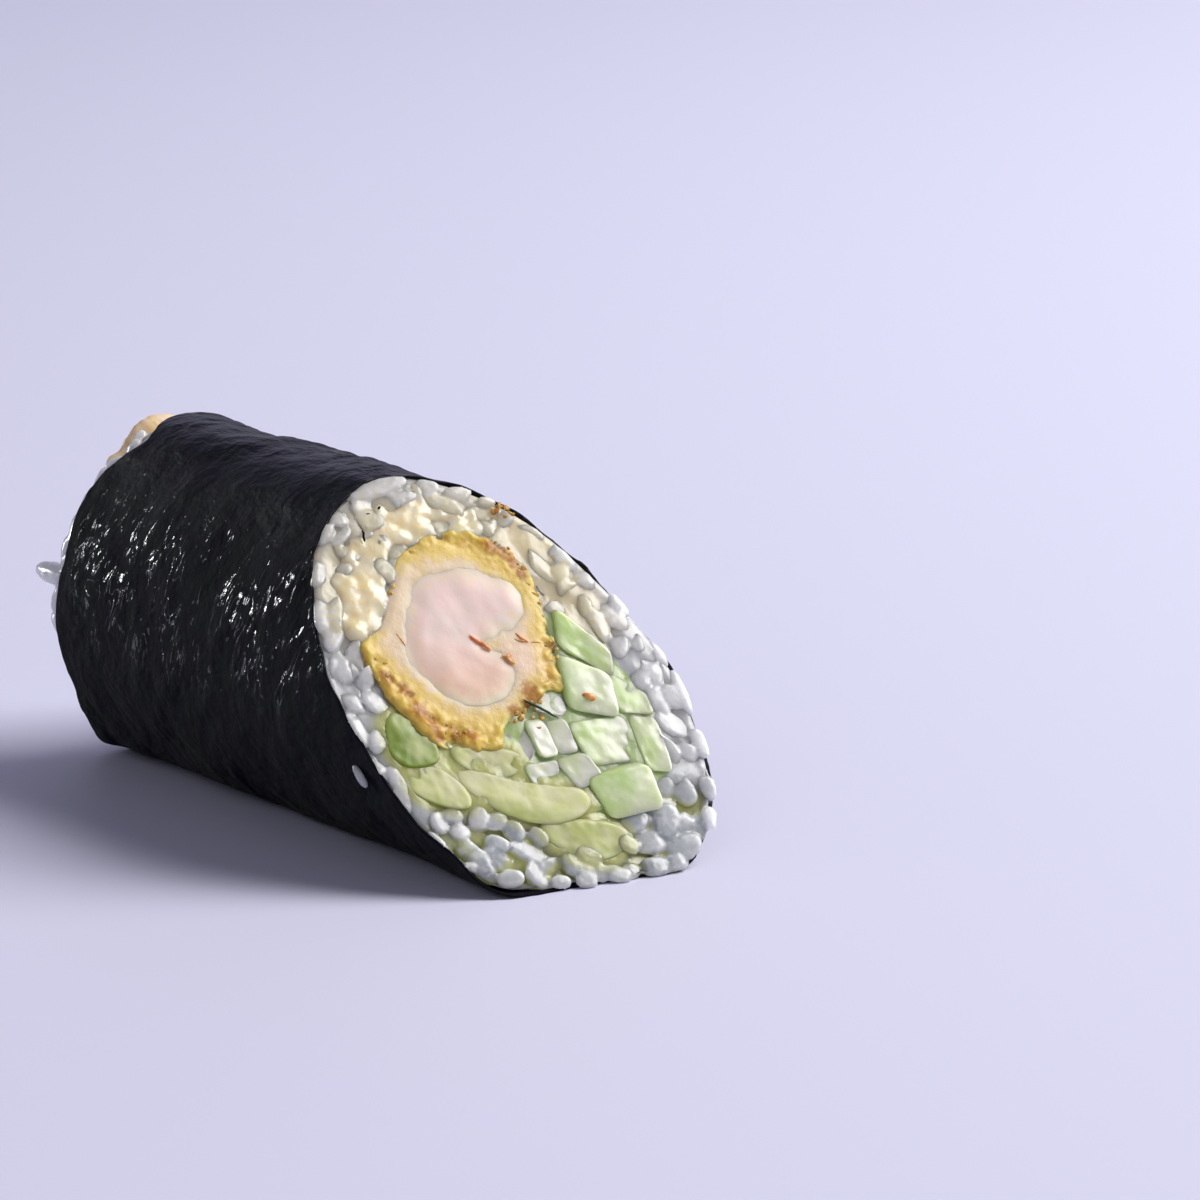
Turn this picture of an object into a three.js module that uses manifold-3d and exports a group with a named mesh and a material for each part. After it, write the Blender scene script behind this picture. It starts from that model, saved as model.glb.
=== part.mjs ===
// Half of a shrimp tempura hand roll, cut on the slant and lying on its long side.
//
// A sheet of nori is wound round a bed of rice, which holds a batter-fried shrimp, a strand of
// creamy sauce, cucumber sticks and avocado slices. All of them run along the roll, from the
// square back end to the slanted cut at the front. Lengths are in millimetres, +X runs along the
// roll towards the cut and +Z is up. Shapes across the roll are given as [y, z], seen from the cut.

import * as THREE from "three";
import { LoftGeometry } from "three/addons/geometries/LoftGeometry.js";
import { mergeVertices } from "three/addons/utils/BufferGeometryUtils.js";
import Module from "manifold-3d";

const wasm = await Module();
wasm.setup();
const { Manifold } = wasm;

// The roll: its round section, which its own weight flattens underneath.
const rollRadius = 21;
const axisHeight = 18.25;
const tallShare = 0.032;
const leanShare = 0.024;
const eggShare = 0.008;
const cornerShare = 0.014;
const dentDepth = 0.13;
const edgeSoftness = 1.2;

// Its length from the back end to the middle of the cut, and the way the cut slants: it moves
// back by cutSlope for each millimetre up, and forward by cutSkew for each millimetre across.
const halfLength = 61.4;
const cutHeight = 21;
const cutSlope = 0.92;
const cutSkew = 0.216;

// The middle of the finished piece, seen from above, which becomes the origin.
const middle = { x: -22.75, y: 0.26 };

// The nori sheet, its lap round the roll, and the gap that is kept between neighbours.
const noriThickness = 0.5;
const lapStart = -40 * (Math.PI / 180);
const lapTurn = 55 * (Math.PI / 180);
const lapStep = 1.2 * (Math.PI / 180);
const gap = 0.32;

// Rice grains, and how deep the bed lies under them at the two ends.
const grainLength = 6.8;
const grainWidth = 2.75;
const grainHeight = 2.45;
const bedDepth = 1.7;
const backBulge = 1.3;

// The fried shrimp swings up to the wrap and thins towards the back, where its end looks out.
const shrimpMiddle = [-2.6, 24];
const shrimpRise = [-2.0, 7.3];
const shrimpThin = 0.44;
const shrimpPeep = 3.4;
const crustCrag = 0.38;

// How finely the wrap and the bed are divided round the roll.
const columns = 44;

const backX = -halfLength;

// A repeatable draw from 0 to 1.
function makeDraw(seed) {
  let state = seed;
  return () => {
    state = (state + 0x6d2b79f5) | 0;
    let mixed = Math.imul(state ^ (state >>> 15), 1 | state);
    mixed = (mixed + Math.imul(mixed ^ (mixed >>> 7), 61 | mixed)) ^ mixed;
    return ((mixed ^ (mixed >>> 14)) >>> 0) / 4294967296;
  };
}

// The x of the slanted cut at a place across the roll.
function cutAt(y, z) {
  return cutSkew * y - cutSlope * (z - cutHeight);
}

// The wrapped roll's radius, with the shallow dents of nori that is drawn over rice.
function skinRadius(angle, x) {
  const round =
    1 -
    tallShare * Math.cos(2 * angle) -
    leanShare * Math.sin(2 * angle) +
    eggShare * Math.cos(3 * angle) -
    cornerShare * Math.sin(3 * angle);
  const dents =
    Math.sin(3 * angle + 0.12 * x) +
    Math.sin(5 * angle - 0.17 * x + 1.7) +
    Math.sin(7 * angle + 0.22 * x + 0.6);
  return rollRadius * round + dentDepth * dents;
}

// A height that is held up by the table, with a soft turn into the flat underside.
function restingHeight(height) {
  if (height <= -edgeSoftness) return 0;
  if (height >= edgeSoftness) return height;
  return (height + edgeSoftness) ** 2 / (4 * edgeSoftness);
}

// A point on the layer that lies inset under the skin, resting flat on the table below.
function layerPoint(angle, x, inset) {
  const radius = skinRadius(angle, x) - inset;
  const floor = Math.max(inset, 0);
  const y = radius * Math.cos(angle);
  const z = floor + restingHeight(axisHeight + radius * Math.sin(angle) - floor);
  return new THREE.Vector3(x, y, z);
}

// A layer's point at the cut, moved out by proud. The dents depend on x, so it is found in steps.
function layerPointAtCut(angle, inset, proud) {
  let x = 0;
  for (let pass = 0; pass < 4; pass += 1) {
    const point = layerPoint(angle, x, inset);
    x = cutAt(point.y, point.z) + proud;
  }
  return layerPoint(angle, x, inset);
}

// The back rim of the nori, which isn't quite straight.
function backRim(angle) {
  return backX + 0.35 * Math.sin(3 * angle + 0.8) + 0.2 * Math.sin(7 * angle);
}

// A solid from a closed geometry. Triangles that shrank to a line at a pole are left out.
function solidOf(geometry) {
  const bare = new THREE.BufferGeometry();
  bare.setAttribute("position", geometry.getAttribute("position"));
  bare.setIndex(geometry.index);
  const merged = mergeVertices(bare, 1e-4);
  const corners = merged.index.array;
  const kept = [];
  for (let i = 0; i < corners.length; i += 3) {
    const [a, b, c] = [corners[i], corners[i + 1], corners[i + 2]];
    if (a !== b && b !== c && c !== a) kept.push(a, b, c);
  }
  const mesh = new wasm.Mesh({
    numProp: 3,
    vertProperties: new Float32Array(merged.attributes.position.array),
    triVerts: new Uint32Array(kept),
  });
  return new wasm.Manifold(mesh);
}

// The largest body of a solid: loose scraps are dropped and sealed hollows are filled.
function largestBody(solid) {
  const bodies = solid.decompose();
  return bodies.reduce((best, body) => (body.volume() > best.volume() ? body : best));
}

// The part of a solid that lies behind the cut, which is moved out by proud.
function cutOff(solid, proud, tiltY = 0, tiltZ = 0) {
  const normal = new THREE.Vector3(-1, cutSkew + tiltY, -cutSlope + tiltZ).normalize();
  const onPlane = new THREE.Vector3(proud, 0, cutHeight);
  return solid.trimByPlane(normal.toArray(), normal.dot(onPlane));
}

// Rings of points joined into one closed solid.
function loft(rings) {
  return solidOf(new LoftGeometry(rings, { capStart: true, capEnd: true }));
}

// The nori's wall, or with grow a fatter copy that clears its neighbours.
function noriWall(grow) {
  const outerRows = 11;
  const innerRows = 7;
  const angles = [lapStart - lapStep, lapStart + lapStep];
  for (let i = 1; i < columns; i += 1) angles.push(lapStart + (i / columns) * 2 * Math.PI);
  angles.push(angles[0] + 2 * Math.PI);
  const loops = angles.map((angle, i) => {
    const turned = (angle - lapStart) / lapTurn;
    const lapped = turned > 0 && turned < 1 && i < angles.length - 1;
    const lap = lapped ? noriThickness * (1 - turned) : 0;
    const outer = -lap - grow;
    const inner = noriThickness + grow;
    const back = backRim(angle) - grow;
    const loop = [];
    for (let row = 0; row <= innerRows; row += 1) {
      const front = layerPointAtCut(angle, inner, grow);
      const x = back + (row / innerRows) * (front.x - back);
      loop.push(row === innerRows ? front : layerPoint(angle, x, inner));
    }
    for (let row = outerRows; row >= 0; row -= 1) {
      const front = layerPointAtCut(angle, outer, grow);
      const x = back + (row / outerRows) * (front.x - back);
      loop.push(row === outerRows ? front : layerPoint(angle, x, outer));
    }
    return loop;
  });
  loops[loops.length - 1] = loops[0];
  return solidOf(new LoftGeometry(loops));
}

// A closed ring of points, each moved outwards across the ring by what push gives.
function pushedOut(ring, push) {
  const count = ring.length;
  return ring.map((point, i) => {
    const before = ring[(i + count - 1) % count];
    const after = ring[(i + 1) % count];
    const out = new THREE.Vector3(0, after.z - before.z, before.y - after.y).normalize();
    return point.clone().addScaledVector(out, push());
  });
}

// A closed line through outline points, with a number of samples, grown outwards by grow.
function smoothRing(outline, samples, grow) {
  const curve = new THREE.CatmullRomCurve3(
    outline.map(([y, z]) => new THREE.Vector3(0, y, z)),
    true,
  );
  return pushedOut(curve.getPoints(samples).slice(0, samples), () => grow);
}

// The fried shrimp's place and size along the roll: 0 at the cut, 1 at the back end.
function shrimpPath(x) {
  const share = THREE.MathUtils.clamp((cutHeight / 3 - x) / (halfLength + cutHeight / 3), 0, 1);
  const eased = share * share * (3 - 2 * share);
  return {
    y: shrimpMiddle[0] + shrimpRise[0] * eased,
    z: shrimpMiddle[1] + shrimpRise[1] * eased,
    scale: 1 - shrimpThin * eased,
  };
}

// A solid that follows the shrimp's path, from an outline at the cut. The back end is rounded.
function alongShrimp(outline, { samples, steps, from, grow = 0, crag = 0, round = 5 }) {
  const rings = [];
  const to = 24;
  const base = smoothRing(outline, samples, 0);
  const draw = makeDraw(11);
  for (let step = 0; step <= steps; step += 1) {
    const share = step / steps;
    const x = from + (to - from) * share ** 1.75;
    const path = shrimpPath(x);
    const fromEnd = THREE.MathUtils.clamp((x - from + 0.6) / round, 0, 1);
    const closing = Math.sqrt(1 - (1 - fromEnd) ** 2);
    const bare = base.map((point) => {
      const y = path.y + (point.y - shrimpMiddle[0]) * path.scale * closing;
      const z = path.z + (point.z - shrimpMiddle[1]) * path.scale * closing;
      return new THREE.Vector3(x, y, z);
    });
    const ring = pushedOut(bare, () => grow + crag * (draw() * 2 - 1));
    rings.push(ring);
  }
  if (grow > 0) rings[0].forEach((point) => (point.x -= grow));
  return loft(rings);
}

// A place in a piece's own section, set down across the roll.
function setDown({ at, turn }, across, up) {
  const angle = THREE.MathUtils.degToRad(turn);
  const y = at[0] + across * Math.cos(angle) - up * Math.sin(angle);
  const z = at[1] + across * Math.sin(angle) + up * Math.cos(angle);
  return new THREE.Vector2(y, z);
}

// The section of a cucumber stick: four sides, cut by hand, with corners barely rounded.
function stickShape(piece, grow) {
  const width = piece.size[0] + 2 * grow;
  const height = piece.size[1] + 2 * grow;
  const sides = [
    [1, -1],
    [1, 1],
    [-1, 1],
    [-1, -1],
  ];
  const corners = sides.map(([side, end]) => {
    const across = (side * width * (1 - piece.taper * end) + piece.shear * end * height) / 2;
    return setDown(piece, across, (end * height) / 2);
  });
  const shape = new THREE.Shape();
  corners.forEach((corner, i) => {
    const entry = corner.clone().lerp(corners[(i + 3) % 4], stickRounding);
    const exit = corner.clone().lerp(corners[(i + 1) % 4], stickRounding);
    if (i === 0) shape.moveTo(entry.x, entry.y);
    else shape.lineTo(entry.x, entry.y);
    shape.quadraticCurveTo(corner.x, corner.y, exit.x, exit.y);
  });
  shape.closePath();
  return shape;
}

// The section of an avocado slice: a long round, bowed like the fruit that it was cut from.
function sliceShape(piece, grow) {
  const width = piece.size[0] + 2 * grow;
  const height = piece.size[1] + 2 * grow;
  const points = [];
  for (let i = 0; i < sliceSides; i += 1) {
    const angle = (i / sliceSides) * 2 * Math.PI;
    const bend = piece.bow * piece.size[1] * (Math.cos(angle) ** 2 - 0.5);
    const up = (height / 2) * Math.sin(angle) + bend;
    points.push(setDown(piece, (width / 2) * Math.cos(angle), up));
  }
  return new THREE.Shape(points);
}

// A straight piece along the roll with a given section, from a back end to beyond the cut.
function alongRoll(shape, back) {
  const depth = 32 - back;
  const geometry = new THREE.ExtrudeGeometry(shape, {
    depth,
    bevelEnabled: false,
    curveSegments: 2,
  });
  // The extrusion's own x, y and z become y, z and x.
  geometry.applyMatrix4(
    new THREE.Matrix4().set(0, 0, 1, back, 1, 0, 0, 0, 0, 1, 0, 0, 0, 0, 0, 1),
  );
  return solidOf(geometry);
}

// Smooth outlines of the fried shrimp at the cut.
const crustOutline = [
  [8.3, 22.0],
  [9.0, 25.0],
  [9.2, 28.0],
  [7.9, 31.2],
  [5.2, 33.6],
  [1.0, 33.6],
  [-3.0, 32.8],
  [-6.8, 31.5],
  [-8.8, 28.8],
  [-11.0, 25.8],
  [-13.9, 24.2],
  [-13.7, 20.5],
  [-12.0, 17.6],
  [-10.4, 14.9],
  [-6.5, 14.1],
  [-3.4, 14.3],
  [-0.5, 16.4],
  [2.6, 18.4],
  [5.6, 18.0],
  [7.2, 19.4],
];
const meatOutline = [
  [6.2, 26.2],
  [5.9, 28.6],
  [3.6, 30.4],
  [0.0, 31.2],
  [-3.2, 30.9],
  [-5.8, 29.2],
  [-8.0, 26.6],
  [-10.3, 24.0],
  [-10.4, 21.4],
  [-8.6, 19.4],
  [-5.0, 18.7],
  [-1.2, 18.8],
  [1.2, 20.2],
  [0.3, 22.3],
  [-1.5, 23.9],
  [2.2, 24.3],
  [4.8, 24.8],
];
// The batter's pocket for the meat follows it, but only part of the way into the crease.
const creaseTip = 14;
const pocketOutline = meatOutline.map((point, i) => (i === creaseTip ? [0.1, 23.3] : point));

// The sauce lies along the batter's upper left, round the shrimp from one angle to the other.
const sauceFrom = 62;
const sauceTo = 184;
const sauceThin = 1.1;
const sauceThick = 4.3;
const sauceDeepest = 157;
const sauceSpread = 22;

function sauceRing(ring) {
  const outer = [];
  const inner = [];
  for (const point of ring) {
    const turned = Math.atan2(point.z - shrimpMiddle[1], point.y - shrimpMiddle[0]);
    const angle = (THREE.MathUtils.radToDeg(turned) + 360) % 360;
    if (angle < sauceFrom || angle > sauceTo) continue;
    const out = new THREE.Vector3(0, Math.cos(turned), Math.sin(turned));
    const near = Math.exp(-(((angle - sauceDeepest) / sauceSpread) ** 2));
    const ends = Math.min(angle - sauceFrom, sauceTo - angle) / 12;
    const thick = (sauceThin + (sauceThick - sauceThin) * near) * Math.min(1, 0.2 + ends);
    outer.push(point.clone().addScaledVector(out, thick));
    inner.unshift(point.clone().addScaledVector(out, -1.2));
  }
  return [...outer, ...inner].map((point) => [point.y, point.z]);
}

// Cucumber sticks and avocado slices: where each lies across the roll, its width and height, and
// how far it is turned. proud is how far an end stands out of the cut.
const stickRounding = 0.14;
const sliceSides = 16;
const cucumberSticks = [
  { at: [11.3, 22.2], size: [3.1, 5.6], turn: 68, taper: -0.21, shear: 0.4, proud: 0.2 },
  { at: [9.3, 18.2], size: [4.6, 5.1], turn: 73, taper: -0.13, shear: 0.05, proud: 0.5 },
  { at: [13.9, 16.7], size: [2.6, 3.6], turn: 79, taper: -0.33, shear: 0.2, proud: -0.8 },
  { at: [13.5, 12.3], size: [2.7, 4.9], turn: -8, taper: -0.09, shear: 0.05, proud: 0.1 },
  { at: [8.5, 13.1], size: [6.4, 4.0], turn: 0, taper: -0.05, shear: -0.06, proud: -0.2 },
  { at: [7.9, 8.3], size: [6.8, 3.9], turn: 6, taper: -0.09, shear: 0.06, proud: 0.6 },
  { at: [4.1, 17.1], size: [3.4, 1.7], turn: -16, taper: 0.08, shear: 0.21, proud: -0.6 },
  { at: [-1.5, 13.9], size: [2.7, 2.7], turn: -68, taper: 0.24, shear: 0, proud: -0.1 },
  { at: [1.1, 14.1], size: [1.9, 3.0], turn: 1, taper: -0.02, shear: 0.04, proud: 0.3 },
  { at: [3.6, 14.0], size: [2.1, 2.8], turn: 3, taper: 0.05, shear: 0.09, proud: -0.3 },
  { at: [-0.4, 10.9], size: [3.6, 1.6], turn: 0, taper: -0.14, shear: 0.2, proud: 0 },
  { at: [3.9, 10.8], size: [2.4, 3.3], turn: -68, taper: 0.17, shear: 0.15, proud: 0.2 },
];
const avocadoSlices = [
  { at: [-6.0, 12.7], size: [7.6, 2.5], turn: -10, bow: 0.2, proud: -0.3 },
  { at: [-3.8, 9.2], size: [14.0, 3.4], turn: -15, bow: 0.42, proud: 0.3 },
  { at: [-13.2, 10.8], size: [6.2, 3.2], turn: -21, bow: -0.13, proud: 0.2 },
  { at: [-13.9, 15.1], size: [5.1, 4.7], turn: -1, bow: -0.19, proud: -0.5 },
  { at: [0.9, 4.6], size: [9.2, 3.3], turn: -8, bow: 0.2, proud: -0.1 },
];
// How far the rice keeps from these pieces, which leaves no thin walls of it between them.
const pieceRoom = 0.75;

// Shades, rough ones for the solids.
const finishes = {
  nori: { color: 0x0c0c10, roughness: 0.35, metalness: 0 },
  rice: { color: 0xe3e1e6, roughness: 0.4, metalness: 0 },
  shrimp: { color: 0xeec9b8, roughness: 0.4, metalness: 0 },
  crust: { color: 0xd9ae58, roughness: 0.6, metalness: 0 },
  sauce: { color: 0xead9a6, roughness: 0.25, metalness: 0 },
  cucumber: { color: 0xc5d9a4, roughness: 0.3, metalness: 0 },
  avocado: { color: 0xd2d48c, roughness: 0.45, metalness: 0 },
};

// Whether a place across the roll lies inside a closed line of points.
function isInside(ring, y, z) {
  let inside = false;
  ring.forEach((a, i) => {
    const b = ring[(i + 1) % ring.length];
    const crosses = a.z > z !== b.z > z;
    if (crosses && y < a.y + ((z - a.z) * (b.y - a.y)) / (b.z - a.z)) inside = !inside;
  });
  return inside;
}

// One grain: a blunt spindle with six sides, lying along a direction.
const grainProfile = [
  [0, -0.5],
  [0.47, -0.3],
  [0.47, 0.3],
  [0, 0.5],
].map(([radius, height]) => new THREE.Vector2(radius, height));

function grain(place, along, up, size) {
  const geometry = new THREE.LatheGeometry(grainProfile, 6);
  const across = new THREE.Vector3().crossVectors(along, up).normalize();
  const flat = new THREE.Vector3().crossVectors(across, along).normalize();
  const turn = new THREE.Matrix4().makeBasis(across, along.clone().normalize(), flat);
  geometry.scale(grainWidth * size, grainLength * size, grainHeight * size);
  geometry.applyMatrix4(turn);
  geometry.translate(place.x, place.y, place.z);
  return solidOf(geometry);
}

// Places for grains across the roll, no two nearer than spacing, where allowed says so.
function scatter(allowed, spacing, draw, tries) {
  const places = [];
  for (let i = 0; i < tries; i += 1) {
    const y = (draw() * 2 - 1) * rollRadius;
    const z = draw() * 2 * rollRadius;
    const near = places.some(([a, b]) => Math.hypot(a - y, b - z) < spacing);
    if (!near && allowed(y, z)) places.push([y, z]);
  }
  return places;
}

function isInBed(y, z, margin) {
  const angle = Math.atan2(z - axisHeight, y);
  const reach = Math.hypot(y, z - axisHeight);
  const room = skinRadius(angle, 0) - noriThickness - gap - margin;
  return reach < room && z > noriThickness + gap + margin;
}

// Grains that lie in the slanted cut, mostly along the wrap, some end on.
function grainsAtCut(rings) {
  const draw = makeDraw(5);
  const normal = new THREE.Vector3(1, -cutSkew, cutSlope).normalize();
  const allowed = (y, z) => isInBed(y, z, 0.5) && !isFilled(rings, y, z);
  return scatter(allowed, 2.9, draw, 6000).map(([y, z]) => {
    const angle = Math.atan2(z - axisHeight, y);
    const swing = angle + Math.PI / 2 + (draw() - 0.5) * 1.5;
    const dy = Math.cos(swing);
    const dz = Math.sin(swing);
    const along = new THREE.Vector3(cutSkew * dy - cutSlope * dz, dy, dz).normalize();
    const standing = draw() < 0.3;
    if (standing) along.addScaledVector(normal, 0.9 + draw()).normalize();
    const depth = standing ? 2.1 : 0.8;
    const place = new THREE.Vector3(cutAt(y, z) - depth - 0.5 * draw(), y, z);
    return grain(place, along, normal, 0.88 + 0.24 * draw());
  });
}

// Grains at the back end, which bulge out of the wrap a little.
function grainsAtBack(rings) {
  const draw = makeDraw(23);
  const normal = new THREE.Vector3(-1, 0, 0);
  const allowed = (y, z) => isInBed(y, z, 0.9) && !isFilled(rings, y, z);
  const grains = scatter(allowed, 3.5, draw, 4000).map(([y, z]) => {
    const turned = draw() * Math.PI * 2;
    const along = new THREE.Vector3((draw() - 0.5) * 0.9, Math.cos(turned), Math.sin(turned));
    const reach = Math.hypot(y, z - axisHeight) / rollRadius;
    const place = new THREE.Vector3(backX + 0.8 - backBulge * (1 - reach * reach), y, z);
    return grain(place, along.normalize(), normal, 0.9 + 0.2 * draw());
  });
  // Three grains look out beside the wrap on the near side: angle, how far out, and tip.
  const lookingOut = [
    { angle: 168, out: 2.1, rise: 0.1 },
    { angle: 190, out: -1.0, rise: -0.2 },
    { angle: 138, out: -1.3, rise: 0.2 },
  ];
  for (const { angle, out, rise } of lookingOut) {
    const turned = THREE.MathUtils.degToRad(angle);
    const reach = skinRadius(turned, backX) - noriThickness - gap - grainHeight / 2 - 0.1;
    const y = reach * Math.cos(turned);
    const z = axisHeight + reach * Math.sin(turned);
    const along = new THREE.Vector3(-1, 0.15, rise).normalize();
    const place = new THREE.Vector3(backX - out, y, z);
    grains.push(grain(place, along, new THREE.Vector3(0, y, z - axisHeight).normalize(), 1));
  }
  return grains;
}

// A round body that fills the wrap up to inset under its skin. Its ends stand out by proud.
function fillOfWrap(inset, proud, rows) {
  const rings = [];
  for (let row = 0; row <= rows; row += 1) {
    const ring = [];
    for (let column = 0; column < columns; column += 1) {
      const angle = lapStart + (column / columns) * 2 * Math.PI;
      const front = layerPointAtCut(angle, inset, proud);
      const back = backX - proud;
      const x = back + (row / rows) * (front.x - back);
      ring.push(row === rows ? front : layerPoint(angle, x, inset));
    }
    rings.push(ring);
  }
  return loft(rings);
}

// Nori.
const noriSolid = largestBody(noriWall(0));
const noriRoom = noriWall(gap);

// Fried shrimp: the meat, and the batter round it, which closes over its back end.
const crustSettings = { samples: 38, steps: 12, from: backX - shrimpPeep, crag: crustCrag };
const meatSettings = { samples: 30, steps: 8, from: backX + 3, round: 4 };
const meatWhole = alongShrimp(meatOutline, meatSettings);
const meatRoom = alongShrimp(pocketOutline, { ...meatSettings, grow: gap });
const crustWhole = alongShrimp(crustOutline, crustSettings);
const crustRoom = alongShrimp(crustOutline, { ...crustSettings, grow: gap });
const meatSolid = cutOff(meatWhole, 0.35, 0.03, 0.05);
const crustSolid = largestBody(
  cutOff(crustWhole, 0.05, -0.02, 0.02).subtract(meatRoom).subtract(noriRoom),
);

// Sticks and slices. Each keeps clear of the crust and of those before it.
const taken = [];
const roomsInRice = [];
function placedPiece(piece, shapeOf, turn) {
  const back = backX + 0.5 + 0.9 * Math.sin(turn * 2.4);
  const whole = alongRoll(shapeOf(piece, 0), back);
  const clear = Manifold.union([crustRoom, ...taken]);
  taken.push(alongRoll(shapeOf(piece, gap), back - 1));
  roomsInRice.push(alongRoll(shapeOf(piece, pieceRoom), backX - 6));
  const tiltY = 0.04 * Math.sin(turn * 3);
  const tiltZ = 0.05 * Math.cos(turn * 5);
  return largestBody(cutOff(whole.subtract(clear), piece.proud, tiltY, tiltZ));
}
const cucumberSolids = cucumberSticks.map((piece, i) => placedPiece(piece, stickShape, i));
const avocadoSolids = avocadoSlices.map((piece, i) => placedPiece(piece, sliceShape, i + 20));

// The sauce fills the bend between the crust and the rice.
const sauceSettings = { samples: 26, steps: 6, from: backX + 2, round: 3 };
const sauceOutline = sauceRing(smoothRing(crustOutline, 48, 0));
const sauceWhole = alongShrimp(sauceOutline, sauceSettings);
const sauceRoom = alongShrimp(sauceOutline, { ...sauceSettings, grow: gap });
const sauceSolid = largestBody(
  cutOff(sauceWhole, -0.5).subtract(crustRoom).subtract(noriRoom),
);

// Rice: the core with the grains that show fused on, cleared of everything it holds.
// Near the cut the fried shrimp rests right on the pieces below it, with no rice between.
const underShrimp = crustRoom.trimByPlane([1, 0, 0], -14).translate([0, 0.3, -1.1]);
// Whether a place across the roll is taken by a stick, a slice or one of the rings.
function isFilled(rings, y, z) {
  const inPiece = [...cucumberSticks, ...avocadoSlices].some(({ at, size, turn }) => {
    const angle = THREE.MathUtils.degToRad(turn);
    const [dy, dz] = [y - at[0], z - at[1]];
    const across = Math.abs(dy * Math.cos(angle) + dz * Math.sin(angle));
    const up = Math.abs(dz * Math.cos(angle) - dy * Math.sin(angle));
    return across < size[0] / 2 + pieceRoom && up < size[1] / 2 + pieceRoom;
  });
  return inPiece || rings.some((ring) => isInside(ring, y, z));
}

// The outline of the fried shrimp at the back end, with some room round it.
function crustAtBack(room) {
  const path = shrimpPath(backX);
  return smoothRing(crustOutline, 40, room).map((point) => {
    const y = path.y + (point.y - shrimpMiddle[0]) * path.scale;
    const z = path.z + (point.z - shrimpMiddle[1]) * path.scale;
    return new THREE.Vector3(0, y, z);
  });
}

const cutRings = [smoothRing(crustOutline, 40, 0.5), smoothRing(sauceOutline, 40, 0.2)];
const bed = fillOfWrap(noriThickness + gap + 0.25, -bedDepth, 7);
const bedRoom = fillOfWrap(noriThickness + gap, 8, 11);
const grains = [...grainsAtCut(cutRings), ...grainsAtBack([crustAtBack(1.2)])];
const riceSolid = largestBody(
  Manifold.union([bed, Manifold.union(grains).intersect(bedRoom)])
    .subtract(crustRoom)
    .subtract(sauceRoom)
    .subtract(underShrimp)
    .subtract(Manifold.union(roomsInRice)),
);

// A named mesh from a solid, with flat faces.
function meshOf(name, solid, finish) {
  const body = largestBody(solid.simplify(0.05));
  const { vertProperties, triVerts } = body.getMesh();
  const geometry = new THREE.BufferGeometry();
  geometry.setAttribute("position", new THREE.BufferAttribute(vertProperties, 3));
  geometry.setIndex(new THREE.BufferAttribute(triVerts, 1));
  geometry.computeVertexNormals();
  const mesh = new THREE.Mesh(
    geometry,
    new THREE.MeshStandardMaterial({ ...finish, flatShading: true }),
  );
  mesh.name = name;
  return mesh;
}

const filling = new THREE.Group();
filling.add(
  meshOf("shrimp", meatSolid, finishes.shrimp),
  meshOf("fried_crust", crustSolid, finishes.crust),
  meshOf("sauce", sauceSolid, finishes.sauce),
  ...cucumberSolids.map((solid, i) => meshOf(`cucumber_${i + 1}`, solid, finishes.cucumber)),
  ...avocadoSolids.map((solid, i) => meshOf(`avocado_${i + 1}`, solid, finishes.avocado)),
);

const roll = new THREE.Group();
roll.add(
  meshOf("nori", noriSolid, finishes.nori),
  meshOf("rice", riceSolid, finishes.rice),
  filling,
);
roll.position.set(-middle.x, -middle.y, 0);

export default roll;
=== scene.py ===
import itertools
import math
import random

import bmesh
import bpy
import numpy as np
from bpy.props import FloatProperty, FloatVectorProperty, IntProperty, PointerProperty
from mathutils import Matrix, Vector
from mathutils.kdtree import KDTree


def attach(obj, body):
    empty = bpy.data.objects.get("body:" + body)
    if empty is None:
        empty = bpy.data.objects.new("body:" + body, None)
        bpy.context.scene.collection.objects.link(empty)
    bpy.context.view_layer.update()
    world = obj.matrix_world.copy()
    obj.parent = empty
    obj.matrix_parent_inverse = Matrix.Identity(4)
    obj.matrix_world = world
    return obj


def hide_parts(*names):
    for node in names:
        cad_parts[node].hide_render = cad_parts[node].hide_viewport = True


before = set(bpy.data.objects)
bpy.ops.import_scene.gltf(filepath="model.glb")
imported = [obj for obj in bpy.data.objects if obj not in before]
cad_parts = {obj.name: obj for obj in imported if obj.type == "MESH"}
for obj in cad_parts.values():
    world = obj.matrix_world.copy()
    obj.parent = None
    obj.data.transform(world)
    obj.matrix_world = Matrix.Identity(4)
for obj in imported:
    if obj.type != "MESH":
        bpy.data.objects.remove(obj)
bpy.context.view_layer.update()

bl_info = {
    "name": "Hand roll half",
    "version": (1, 0, 0),
    "blender": (4, 5, 0),
    "location": "View3D > Sidebar > Hand Roll",
    "description": "Builds half of a shrimp tempura hand roll, cut on the slant",
    "category": "Object",
}

# Lengths in the functions are in millimetres, along the roll towards the cut (x), across it (y)
# and up (z). MIDDLE is the place that lies over the frame's origin.
MM = 0.001
MIDDLE = np.array([-22.75, 0.26, 0.0])
# The height at which the slanted cut crosses x = 0, and the round that the nori's patterns follow.
CUT_HEIGHT = 21.0
SHEET_ROUND = 21.0
# Where the nori's lap starts, how far round it thins out, and how much it adds; and how far the
# nori's rim stays behind the rice at the cut, on the side turned from view.
LAP_START = math.radians(-40)
LAP_TURN = math.radians(55)
LAP_HEIGHT = 0.45
TUCK = 1.3

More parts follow.
